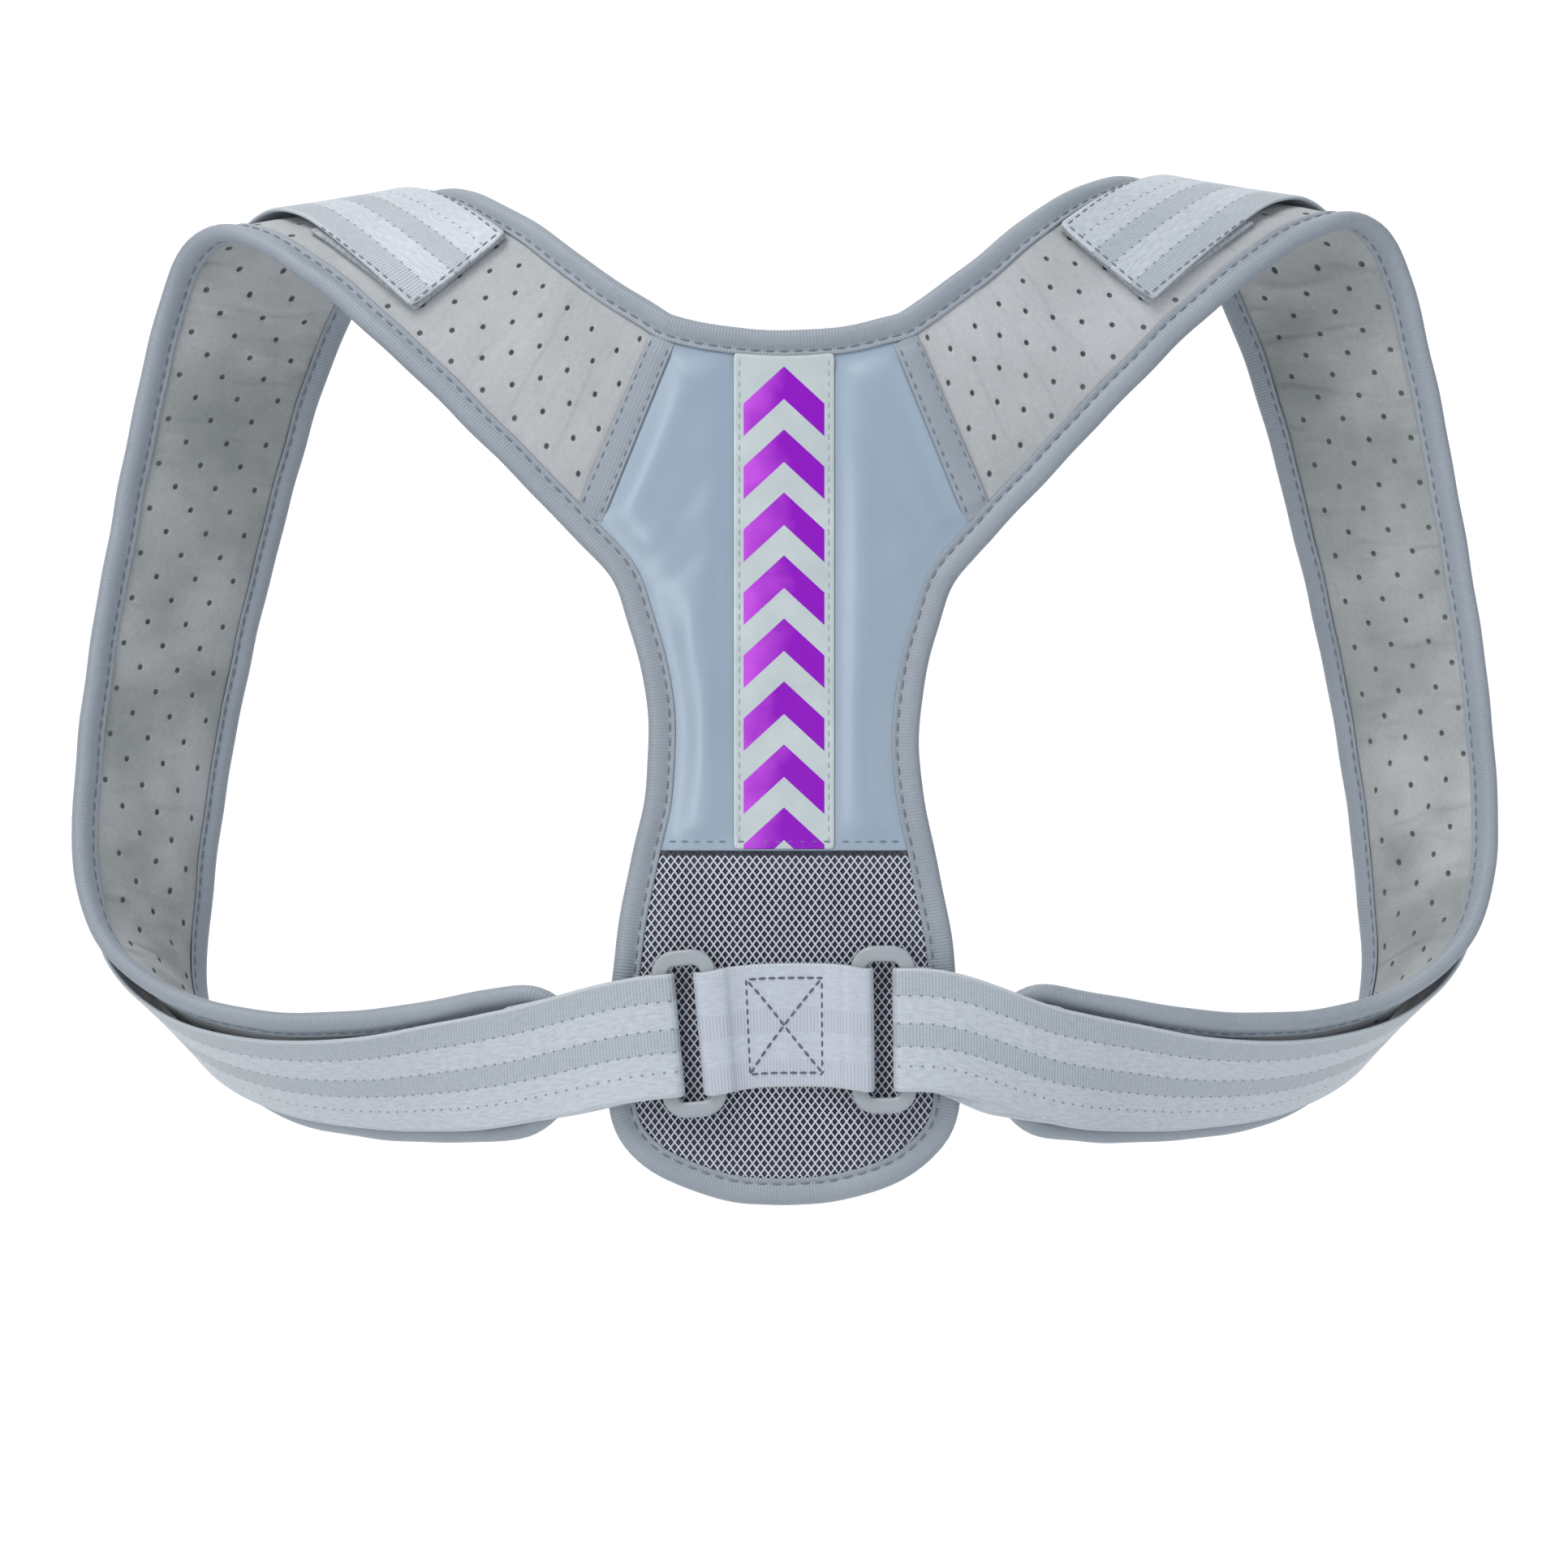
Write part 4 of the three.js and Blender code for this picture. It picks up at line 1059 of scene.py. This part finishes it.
def edge_loop():
    """The middle line of the piping: its points, outward directions and named stretches."""
    wing = {}
    for name, band in bands.items():
        flat = wing_edge(band, PATH_INSET, 0, PATH_STEP)
        point, _, _, out = band_frame(band, flat[:, 0], flat[:, 1])
        wing[name] = (point, out)
    wing["right"] = tuple(a[::-1] for a in wing["right"])
    edge = panel_edge(PATH_INSET)
    count = round(lengths(edge)[-1] / PATH_STEP)
    edge = at_lengths(edge, np.linspace(0, lengths(edge)[-1], count))[2:]
    around = np.vstack([edge, (edge * [-1, 1])[::-1][1:]])
    panel = panel_point(around[:, 0], around[:, 1], 0)
    ends = wing["left"][0][-1], wing["right"][0][0]
    x = np.linspace(ends[0][0], ends[1][0], round(NECK_WIDTH / PATH_STEP))[1:-1]
    neck = panel_point(x, neck_edge(x, PATH_INSET), 0)
    stretches = [
        ("panel", panel, np.tile(BACK, (len(panel), 1))),
        ("left_wing", *wing["left"]),
        ("neck", neck, np.tile(BACK, (len(neck), 1))),
        ("right_wing", *wing["right"]),
    ]
    points = np.vstack([s[1] for s in stretches])
    outs = np.vstack([s[2] for s in stretches])
    for _ in range(2):
        points = (np.roll(points, 1, axis=0) + 2 * points + np.roll(points, -1, axis=0)) / 4
    for _ in range(4):
        outs = unit(np.roll(outs, 1, axis=0) + 2 * outs + np.roll(outs, -1, axis=0))
    along = unit(np.roll(points, -1, axis=0) - np.roll(points, 1, axis=0))
    sides = unit(np.cross(outs, along))
    outs = np.cross(along, sides)
    turns = lengths(points)[:, None] * 2 * math.pi / lengths(points)[-1]
    points = points + sides * UNEVEN * (np.sin(turns * 71) + np.sin(turns * 113 + 1)) / 2
    spans, start = {}, 0
    for name, found, _ in stretches:
        spans[name] = (start, start + len(found))
        start += len(found)
    return points, sides, outs, spans


loop_points, loop_sides, loop_outs, loop_spans = edge_loop()
print("bound edge:", round(lengths(loop_points)[-1]), "mm long")

# %% [markdown]
# ### Sweeping the piping
#
# The four nodes of the binding are stretches of the one loop. Each stretch reaches its
# neighbour's first point, so their ends meet and no light shows between them.

# %% Piping
# Top half of the section: inset from the outer edge, height above the middle
PIPING_TOP = [
    (0.0, 0.0), (0.18, 1.0), (0.75, 1.9), (1.7, 2.5), (2.9, 2.72), (4.1, 2.6), (5.1, 2.28),
    (5.8, 1.9), (6.3, 1.64), (6.8, 1.56), (7.2, 1.66), (7.7, 1.92), (8.2, 1.94), (8.5, 1.74),
    (8.3, 1.46), (6.9, 1.38), (6.6, 1.2), (6.55, 0.0),
]


def stretch_of(name):
    """Places in the loop of one stretch. Wings own the two seams' points at their ends."""
    first, last = loop_spans[name]
    if name in ("panel", "neck"):
        first, last = first - 1, last + 1
    return np.arange(first, last) % len(loop_points)


section = mirrored(np.array(PIPING_TOP), [1, -1])
section[:, 0] = PATH_INSET - section[:, 0]
for name in loop_spans:
    rows = stretch_of(name)
    bm = swept(loop_points[rows], loop_sides[rows], loop_outs[rows], section)
    finish_piece(name + "_piping", bm, [binding_tape], node=name + "_binding")

# %% [markdown]
# ## Stitches
#
# A stitch is a short loop of thread that dives into the cloth at both ends. Well over 1,000
# are needed, so each is a small stretched ball of 24 faces, laid along its row and half sunk.
# One ball is made and the mesh is doubled until there are enough of them, which is much
# quicker than making every ball by itself. All stitches of one kind share one mesh. The faces
# of a new ball come in another order on every run, so they are sorted first.

# %% Rows of stitches
STITCH_PITCH = 4.4
STITCH_LENGTH = 3.1
THREAD = 0.75


def stitch_row(points, outs, pitch=STITCH_PITCH, long=STITCH_LENGTH, thick=THREAD):
    """Where the stitches along a line lie: a middle, and three half axes for each."""
    reached = lengths(points)
    count = max(int(reached[-1] / pitch), 1)
    middles = (np.arange(count) + 0.5) * reached[-1] / count
    centre = at_lengths(points, middles)
    ahead = at_lengths(points, middles + 0.4) - at_lengths(points, middles - 0.4)
    up = np.column_stack([np.interp(middles, reached, column) for column in outs.T])
    along = unit(ahead)
    side = unit(np.cross(up, along))
    up = np.cross(along, side)
    return np.stack([side * thick / 2, up * thick / 2.6, along * long / 2, centre], axis=1)


def sew(name, rows, yarn=thread):
    """One piece that holds a ball for every stitch of the given rows."""
    frames = np.vstack(rows)
    first = bmesh.new()
    bmesh.ops.create_uvsphere(first, u_segments=6, v_segments=4, radius=1)
    first.verts.index_update()
    first.faces.sort(key=lambda face: sum(1 << vert.index for vert in face.verts))
    seed = bpy.data.meshes.new("stitch")
    first.to_mesh(seed)
    first.free()
    bm = bmesh.new()
    bm.from_mesh(seed)
    bpy.data.meshes.remove(seed)
    ball = places(bm)
    wanted = len(ball) * len(frames)
    while len(bm.verts) < wanted:
        bmesh.ops.duplicate(bm, geom=bm.verts[:] + bm.edges[:] + bm.faces[:])
    bm.verts.ensure_lookup_table()
    bmesh.ops.delete(bm, geom=bm.verts[wanted:], context="VERTS")
    assert np.allclose(places(bm).reshape(-1, *ball.shape), ball), "the copies keep their order"
    spots = np.einsum("va,nac->nvc", ball, frames[:, :3]) + frames[:, 3:]
    for vert, co in zip(bm.verts, spots.reshape(-1, 3) * MM):
        vert.co = co
    bmesh.ops.recalc_face_normals(bm, faces=bm.faces)
    print(name + ":", len(frames), "stitches")
    finish_piece(name, bm, [yarn])


# %% [markdown]
# ### Stitches along the piping
#
# The tape is sewn down through both lips, so a row shows in the groove beside the roll on each
# face. The rows follow the same loop as the piping, a little further in.

# %% Stitches along the piping
STITCH_INSET = 6.75
STITCH_HEIGHT = 1.6

rows_of_stitches = []
for name in loop_spans:
    rows = stretch_of(name)
    inwards = loop_points[rows] + loop_sides[rows] * (PATH_INSET - STITCH_INSET)
    for face in (1, -1):
        line = inwards + loop_outs[rows] * STITCH_HEIGHT * face
        rows_of_stitches.append(stitch_row(line, loop_outs[rows] * face))
sew("edge_stitches", rows_of_stitches)

# %% [markdown]
# ## The strip
#
# Flat trims are slabs a little over half a millimetre thick. A subdivision rounds their
# edges, as a folded or heat-cut edge is round. The strip dips a little along its two rows of
# stitches.

# %% Reflective strip
def slab(x_low, x_high, y_low, y_high, cell, low, high, place):
    """A thin flat piece between two heights, bent into place."""
    bm = flat_grid(x_low, x_high, y_low, y_high, cell)
    thicken(bm, low, high)
    bend(bm, place)
    return bm


def strip_point(x, y, height):
    low, high = -HEM_DROP + GAP / 2, neck_edge(x, UNDER_BINDING + 1)
    return panel_point(x, low + (high - low) * y, height)


def strip_slab():
    half = STRIP_WIDTH / 2

    def place(x, y, height):
        dip = 0.25 * np.exp(-((np.abs(x) - half + 2) / 1.2) ** 2)
        return strip_point(x, y / 100, height - dip)

    return slab(-half, half, 0, 100, 2, ON_PAD, ON_PAD + STRIP_THICKNESS, place)


finish_piece("chevron_strip", strip_slab(), [reflective_tape],
             node="reflective_strip", level=1)


# %% [markdown]
# ### Tapes over the seams
#
# A tape covers the seam between wing and yoke, so half of it lies on each, and its place is
# worked out from both. Its ends sink with the pinched pads and run under the piping's lip.

# %% Tapes over the seams
def seam_point(band, x, lateral, height):
    """A point beside a seam: x runs onto the wing, or onto the panel where it is negative."""
    on_wing = on_band(band, np.maximum(x, 0), lateral, height)
    point, _, across, out = band_frame(band, np.zeros_like(x), lateral)
    beside = point + unit(np.cross(across, out)) * (x * band["sign"])[:, None]
    on_panel = panel_point(beside[:, 0], beside[:, 2], height)
    return np.where((x >= 0)[:, None], on_wing, on_panel)


TAPE_TUCK = 1.1  # how far a tape's end sinks with the pinched pad, under the piping's lip
TAPE_CELL = 1.2
TAPE_STITCH_INSET = 1.4
SUNK = 0.25  # how deep stitches lie in a trim


def tape_sink(lateral, reach):
    return TAPE_TUCK * smooth((np.abs(lateral) - reach + 5) / 4)


rows_of_stitches = []
for name, band in bands.items():
    reach = float(half_width(band, 0.0, UNDER_BINDING + 0.4))
    half = TAPE_WIDTH / 2

    def place(x, lateral, height):
        dip = 0.3 * np.exp(-((np.abs(x) - half + TAPE_STITCH_INSET) / 0.9) ** 2)
        return seam_point(band, x, lateral, height - dip - tape_sink(lateral, reach))

    bm = slab(-half, half, -reach, reach, TAPE_CELL, ON_PAD - 0.2, ON_PAD + TAPE_THICKNESS, place)
    finish_piece(name + "_joining_tape", bm, [binding_tape],
                 node=name + "_seam_tape", level=1)
    lateral = np.linspace(-reach + 2, reach - 2, 60)
    height = ON_PAD + TAPE_THICKNESS - SUNK - tape_sink(lateral, reach)
    for x in (TAPE_STITCH_INSET - half, half - TAPE_STITCH_INSET):
        row = np.full(len(lateral), x)
        line = seam_point(band, row, lateral, height)
        outs = unit(seam_point(band, row, lateral, height + 1) - line)
        rows_of_stitches.append(stitch_row(line, outs, pitch=3.6, long=2.2))
sew("seam_stitches", rows_of_stitches)

# %% [markdown]
# ## Straps
#
# Each strap is one length of webbing. It starts as a tab on top of the shoulder, follows the
# wing's outer face down and under the arm, leaves it for the buckle, turns round the outer
# bar and comes back to be sewn to the wing's tip. The path is built as rows of a middle point,
# a direction across the webbing and one out of it, and the webbing's section is swept along.

# %% Slack and buckle places
SLACK_SECTIONS = [(0, 0), (0.2, 0), (0.27, 0.3), (0.36, 0), (0.62, 0), (0.71, 1), (0.76, 0.8),
                  (0.84, 0), (1, 0)]
STRAP_STEP = 3


def strap_shift(band, distance):
    return TAB_SHIFT * (1 - smooth((distance - TAB_START) / (band["length"] / 2 - TAB_START)))


def buckle_frame(side):
    lean, sign = math.radians(side["lean"]), side["sign"]
    height = ON_PAD + TURN_RADIUS + WEBBING_THICKNESS / 2
    middle = panel_point(0, side["raise"] - BUCKLE_DROP, height)
    middle[0] = sign * (BUCKLE_OUT + side["shift"])
    up = np.array([sign * math.sin(lean), 0, math.cos(lean)])
    outwards = np.array([sign * math.cos(lean), 0, -math.sin(lean)])
    return middle, up, outwards


def slack_at(share):
    alongs, slacks = np.array(SLACK_SECTIONS).T
    following = np.clip(np.searchsorted(alongs, share), 1, len(alongs) - 1)
    begin, end = alongs[following - 1], alongs[following]
    between = smooth((share - begin) / (end - begin))
    return STRAP_SLACK * (slacks[following - 1] * (1 - between) + slacks[following] * between)


for side in SIDES:
    print(side["name"], "buckle at", np.round(buckle_frame(side)[0], 1), "mm")


# %% The path of a strap
def strap_rows(band):
    """Middle points, directions across and directions out, from the tab to the sewn end."""
    length = band["length"]
    last_sewn = length - 1
    first_sewn = last_sewn - SEWN_LENGTH
    middle, up, outwards = buckle_frame(band["side"])
    bar = middle + outwards * (BUCKLE_WIDTH - BUCKLE_BAR) / 2
    beside = bar + outwards * BUCKLE_BAR / 2

    def height(distance):
        over_hook = 1 - smooth((distance - TAB_START - HOOK_LENGTH) / HOOK_LENGTH)
        over_end = smooth((distance - first_sewn + SEWN_LENGTH) / SEWN_LENGTH)
        lowest = ON_BINDING + (ON_HOOK - ON_BINDING) * over_hook
        return lowest + WEBBING_PITCH * over_end + slack_at(distance / length)

    def on_wing(distance, heights, turned):
        point, _, across, out = band_frame(band, distance, strap_shift(band, distance))
        return point + out * heights[:, None], across, -out if turned else out

    def free(distance, from_height, to_height, turned):
        start, along, across, out = (a[0] for a in band_frame(band, [distance], [0.0]))
        p0 = start + out * from_height
        p3 = beside + BACK * to_height
        reach = np.linalg.norm(p3 - p0) / 3
        p1, p2 = p0 + along * reach, p3 + outwards * reach
        t = np.linspace(0, 1, 18)[1:, None]
        s = 1 - t
        points = s**3 * p0 + 3 * t * s**2 * p1 + 3 * t**2 * s * p2 + t**3 * p3
        runs = s**2 * (p1 - p0) + 2 * t * s * (p2 - p1) + t**2 * (p3 - p2)
        acrosses = unit(across * (1 - smooth(t)) - up * smooth(t))
        outs = unit(np.cross(runs, acrosses))
        outs *= np.where(outs[:, 1:2] > 0, -1, 1) * (-1 if turned else 1)
        return points, acrosses, outs

    tab = np.arange(TAB_START, first_sewn, STRAP_STEP)
    first = on_wing(tab, height(tab), False)
    outgoing = free(first_sewn, float(height(first_sewn)), TURN_RADIUS, False)
    turn = np.linspace(0, math.pi, 15)[1:-1, None]
    outs = BACK * np.cos(turn) - outwards * np.sin(turn)
    points = bar + outwards * (1 - BUCKLE_BAR / 2) + outs * TURN_RADIUS
    round_bar = points, np.tile(-up, (len(turn), 1)), outs
    incoming = tuple(a[::-1] for a in free(last_sewn, ON_BINDING, -TURN_RADIUS, True))
    sewn = np.arange(last_sewn, first_sewn, -STRAP_STEP)
    last = on_wing(sewn, np.full(len(sewn), ON_BINDING), True)
    parts = (first, outgoing, round_bar, incoming, last)
    return tuple(np.vstack([p[i] for p in parts]) for i in range(3))


# %% [markdown]
# ### The webbing
#
# The section is flat with a slightly thicker selvedge, and a gentle ripple keeps a long
# stretch from looking like sheet metal. The cloth map of the sweep places its woven bands.

# %% Straps
def webbing_section(width, thickness, columns=10):
    """A webbing's section: flat, with a slightly thicker rounded selvedge on both sides."""
    half, thick = width / 2, thickness / 2
    flat_part = np.linspace(half - 2, 2 - half, columns)
    across = np.concatenate([[half - 0.9], flat_part, [0.9 - half]])
    top = np.column_stack([across, np.full(len(across), thick)])
    top[[0, -1], 1] = thick * 1.05
    ends = [(-half + 0.25, thick * 0.7), (-half, 0), (-half + 0.25, -thick * 0.7)]
    bottom = (top * [1, -1])[::-1]
    return np.vstack([top, ends, bottom, [(-x, -y) for x, y in ends]])


def ripple(rows, size):
    """A gentle wave in the webbing's height, about 107 and 46 mm long, calm at both ends."""
    points, acrosses, outs = rows
    reached = lengths(points)
    calm = smooth(reached / 30) * smooth((reached[-1] - reached) / 200)
    wave = np.sin(reached / 17) * 0.6 + np.sin(reached / 7.3 + 1) * 0.25
    return points + outs * (wave * calm * size)[:, None], acrosses, outs


section = webbing_section(WEBBING_WIDTH, WEBBING_THICKNESS)
straps = {name: ripple(strap_rows(band), 0.25) for name, band in bands.items()}
for name, (points, acrosses, outs) in straps.items():
    bm = swept(points, acrosses, outs, section)
    finish_piece(name + "_webbing_strap", bm, [webbing],
                 node=name + "_strap", level=1)
    print(name, "strap:", round(lengths(points)[-1]), "mm of webbing")

# %% [markdown]
# ### Hook layers
#
# Under each tab lies a patch of hook tape that grips the knit of the wing. Only its edge
# shows, so a slab that follows the wing is enough.

# %% Hook layers
for name, band in bands.items():
    half = WEBBING_WIDTH / 2 - 0.2

    def place(x, y, height):
        return on_band(band, x, y + strap_shift(band, x), height)

    bm = slab(TAB_START + 0.3, TAB_START + HOOK_LENGTH, -half, half, 2.5,
              ON_PAD, ON_PAD + HOOK_THICKNESS, place)
    finish_piece(name + "_hook_layer", bm, [hook_tape],
                 node=name + "_hook_patch", level=1)

# %% [markdown]
# ## Buckles
#
# Each buckle is a moulded loop: two long bars and two short ends with rounded corners. The
# solid already has that shape, with coarse corners. A rounded section swept round one
# rounded rectangle gives the soft edges of a moulding without a boolean cut.

# %% Buckles
def rounded_rectangle(width, height, radius, steps):
    """Points round a rectangle with round corners, and the directions out of it."""
    points, outs = [], []
    for quarter, (x, y) in enumerate([(1, 1), (-1, 1), (-1, -1), (1, -1)]):
        for turn in np.linspace(0, math.pi / 2, steps) + quarter * math.pi / 2:
            out = (math.cos(turn), math.sin(turn))
            points.append((x * (width / 2 - radius) + radius * out[0],
                           y * (height / 2 - radius) + radius * out[1]))
            outs.append(out)
    return np.array(points), np.array(outs)


def buckle(side):
    middle, up, outwards = buckle_frame(side)
    flat, away = rounded_rectangle(
        BUCKLE_WIDTH - BUCKLE_BAR, BUCKLE_HEIGHT - BUCKLE_END, BUCKLE_CORNER - BUCKLE_BAR / 2, 9)
    points = middle + flat[:, :1] * outwards + flat[:, 1:] * up
    sides = away[:, :1] * outwards + away[:, 1:] * up
    outs = np.tile(BACK, (len(points), 1))
    turn = np.linspace(0, 2 * math.pi, 21)[:-1]
    squarish = 0.62
    section = np.column_stack([
        BUCKLE_BAR / 2 * np.sign(np.cos(turn)) * np.abs(np.cos(turn)) ** squarish,
        BUCKLE_THICKNESS / 2 * np.sign(np.sin(turn)) * np.abs(np.sin(turn)) ** squarish])
    return swept(points, sides, outs, section, loop=True)


for side in SIDES:
    finish_piece(side["name"] + "_loop_buckle", buckle(side), [moulded_acetal],
                 node=side["name"] + "_buckle", level=1)

# %% [markdown]
# ## The link between the buckles
#
# A short webbing is wrapped round both inner bars and sewn to the net in its middle, so it is
# a flattened ring. It is swept as a ring seen from above, then leaned and arched.

# %% The link
def link_path():
    """The ring seen from above: x, and distance behind the body side of the panel."""
    bar_back = -buckle_frame(SIDES[0])[0][1]
    under = PAD + GAP + WEBBING_THICKNESS / 2
    over = under + WEBBING_THICKNESS + 0.05
    flat = LINK_SEWN / 2
    around = [(LINK_TURN + TURN_RADIUS * math.sin(a), bar_back - TURN_RADIUS * math.cos(a))
              for a in np.linspace(0, math.pi, 9)]
    slope = [(BAR_MIDDLE - 3.5, bar_back + TURN_RADIUS - 0.3), (flat + 4.5, over + 1.5),
             (flat, over + 0.15)]
    right = [(0, under), (flat, under), *around, *slope]
    left = [(-x, y) for x, y in right[::-1]]
    return curve_through([*right, (0, over), *left[:-1], (0, under)], 6)[:-1]


def link():
    ring = link_path()
    points = np.column_stack([ring[:, 0], -ring[:, 1], np.zeros(len(ring))])
    along = unit(np.roll(points, -1, axis=0) - np.roll(points, 1, axis=0))
    sides = np.tile([0.0, 0.0, 1.0], (len(points), 1))
    outs = np.cross(along, sides)
    bm = swept(points, sides, outs, webbing_section(WEBBING_WIDTH, WEBBING_THICKNESS), loop=True)
    for vert in bm.verts:
        vert.co = Vector(link_bend(*(vert.co / MM))) * MM
    return bm


def link_bend(x, y, up):
    """Leans, shifts and raises each half of the ring as its own buckle lies."""
    side = SIDES[0 if x < 0 else 1]
    share = abs(x) / LINK_TURN
    follow = float(smooth(share))
    lean = math.radians(side["lean"]) * follow
    shifted = x + side["sign"] * (math.sin(lean) * up + side["shift"] * follow)
    arch = LINK_ARCH * max(1 - share**2, 0) + side["raise"] * follow
    return shifted, y, up * math.cos(lean) - BUCKLE_DROP + arch


finish_piece("buckle_link_webbing", link(), [link_webbing],
             node="buckle_link", level=1)

# %% [markdown]
# ## The last stitches
#
# The link is tacked to the net with a box and a cross, the strongest small pattern, and the
# tab of each strap is sewn round its edge to the hook layer below. Two rows of a paler thread
# hold the strip, and one row across the yoke holds its hem to the net.

# %% Stitches on link and tabs
def line_between(corners, step=1.0):
    corners = np.array(corners, float)
    return at_lengths(corners, np.arange(0, lengths(corners)[-1] + step / 2, step))


rows_of_stitches = []
BOX_HALF = LINK_SEWN / 2
BOX_TALL = 14.5  # half the height of the box
corners_of_box = [(-1, -1), (1, -1), (1, 1), (-1, 1), (-1, -1)]
box = [(x * BOX_HALF, up * BOX_TALL) for x, up in corners_of_box]
crosses = [[box[0], box[2]], [box[1], box[3]]]
link_face = PAD + GAP + 2 * WEBBING_THICKNESS + 0.1
for corners in (box, *crosses):
    flat = line_between(corners)
    line = np.array([link_bend(x, -link_face, up) for x, up in flat])
    outs = np.tile(BACK, (len(line), 1))
    rows_of_stitches.append(stitch_row(line, outs, pitch=2.9, long=2.4, thick=0.85))
sew("box_stitches", rows_of_stitches, tacking_thread)

TAB_STITCH_INSET = 2.2

rows_of_stitches = []
for name, band in bands.items():
    half = WEBBING_WIDTH / 2 - TAB_STITCH_INSET
    begin, end = TAB_START + TAB_STITCH_INSET, TAB_START + HOOK_LENGTH - 3
    flat = line_between([(end, -half), (begin, -half), (begin, half), (end, half), (end, -half)])
    lateral = flat[:, 1] + strap_shift(band, flat[:, 0])
    height = np.full(len(flat), ON_HOOK + WEBBING_THICKNESS / 2)
    line = on_band(band, flat[:, 0], lateral, height)
    outs = band_frame(band, flat[:, 0], lateral)[3]
    rows_of_stitches.append(stitch_row(line, outs, pitch=3.4, long=2.4, thick=0.7))
sew("tab_stitches", rows_of_stitches)

# %% Stitches on the strip and the hem
STRIP_STITCH_INSET = 1.8
HEM_STITCH_RISE = 2.6
STRIP_FACE = ON_PAD + STRIP_THICKNESS - 0.2  # where a stitch on the strip lies

rows_of_stitches = []
heights = np.linspace(0.01, 0.99, 90)
outs = np.tile(BACK, (len(heights), 1))
for x in (STRIP_STITCH_INSET - STRIP_WIDTH / 2, STRIP_WIDTH / 2 - STRIP_STITCH_INSET):
    line = strip_point(np.full(len(heights), x), heights, STRIP_FACE)
    rows_of_stitches.append(stitch_row(line, outs, pitch=3.2, long=2.2, thick=0.6))
sew("strip_stitches", rows_of_stitches, pale_thread)

rows_of_stitches = []
outs = outs[:40]
for left, right in [(-36, -17), (-15, 15), (17, 36)]:
    x, z = np.linspace(left, right, len(outs)), np.full(len(outs), HEM_STITCH_RISE - HEM_DROP)
    full, lifted = yoke_swell(x, z)
    line = panel_point(x, z, STRIP_FACE if right == 15 else full + lifted)
    rows_of_stitches.append(stitch_row(line, outs, pitch=3.6, long=2.4, thick=0.7))
sew("hem_stitches", rows_of_stitches)

# %% [markdown]
# ## Floor, light and camera
#
# The brace is held up in the form that it has on a body, so the floor lies well below it. Large
# soft lights stand for a white studio: a broad one high on the left, a tall strip beside the
# camera that draws the upright highlights on the coated cloth, a fill from the right, a weak
# one from below that keeps the undersides readable, and one that whitens the wall.

# %% Floor and wall
FLOOR_DROP = 0.4

studio_paper, tree, shader = new_material("studio_paper", Roughness=0.9)
surface(tree, shader, add_node(tree, "Mix", mottle(tree, 900, 1), "#F2F3F4", "#F8F8F8", **MIX))


def floor_and_wall():
    """A floor that curves up into a wall behind the brace."""
    line = [(-3.0, 0), (1.2, 0), (1.7, 0.06), (2.1, 0.3), (2.3, 0.8), (2.35, 3.0)]
    curve = curve_through(line, 8)
    bm = bmesh.new()
    bmesh.ops.create_grid(bm, x_segments=1, y_segments=len(curve) - 1, size=0.5)
    for vert in bm.verts:
        y, z = curve[round((vert.co.y + 0.5) * (len(curve) - 1))]
        vert.co = (vert.co.x * 8, y, z - FLOOR_DROP)
    bmesh.ops.recalc_face_normals(bm, faces=bm.faces)
    return bm


smooth_object("studio_sweep", floor_and_wall(), [studio_paper])
print("backdrop: its floor lies", FLOOR_DROP, "m below the origin")


# %% Light
def area_light(name, place, target, size, watts, colour="#FFFFFF"):
    data = bpy.data.lights.new(name, "AREA")
    data.shape = "RECTANGLE"
    data.size, data.size_y = size
    data.energy = watts
    data.color = linear(colour)[:3]
    lamp = bpy.data.objects.new(name, data)
    lamp.location = place
    lamp.rotation_euler = (Vector(target) - Vector(place)).to_track_quat("-Z", "Y").to_euler()
    bpy.context.scene.collection.objects.link(lamp)


area_light("key", (-0.7, -1.0, 1.8), (0, 0, 0), (1.0, 1.0), 32, "#FFFDFA")
area_light("left_strip", (-1.15, -1.45, 0.1), (0, 0, 0.05), (0.4, 1.8), 10.5)
area_light("fill", (1.5, -1.2, 0.4), (0, 0, 0), (1.2, 1.4), 7, "#F4F8FF")
area_light("low", (0, -1.4, -0.15), (0, 0, 0), (1.6, 0.3), 0.8)
area_light("wall", (0, 0.9, 1.6), (0, 2.0, 0.3), (3.0, 1.0), 30)
print("lights:", len(bpy.data.lights))

# %% World and camera
CAMERA_BACK = 0.9
CAMERA_HEIGHT = -0.01275
FRAME_WIDTH = 0.483  # of the view at the panel, in metres

world = bpy.data.worlds.new("studio")
bpy.context.scene.world = world
world.use_nodes = True
world.node_tree.nodes["Background"].inputs["Color"].default_value = linear("#F3F6FA")
world.node_tree.nodes["Background"].inputs["Strength"].default_value = 0.36
bpy.context.scene.view_settings.view_transform = "Standard"

camera_data = bpy.data.cameras.new("camera")
camera_data.sensor_width = 36
camera_data.lens = camera_data.sensor_width * CAMERA_BACK / FRAME_WIDTH
camera = bpy.data.objects.new("camera", camera_data)
camera.location = (0, -CAMERA_BACK, CAMERA_HEIGHT)
camera.rotation_euler = (math.pi / 2, 0, 0)
bpy.context.scene.collection.objects.link(camera)
bpy.context.scene.camera = camera
print("lens of the camera:", round(camera_data.lens, 1), "mm")
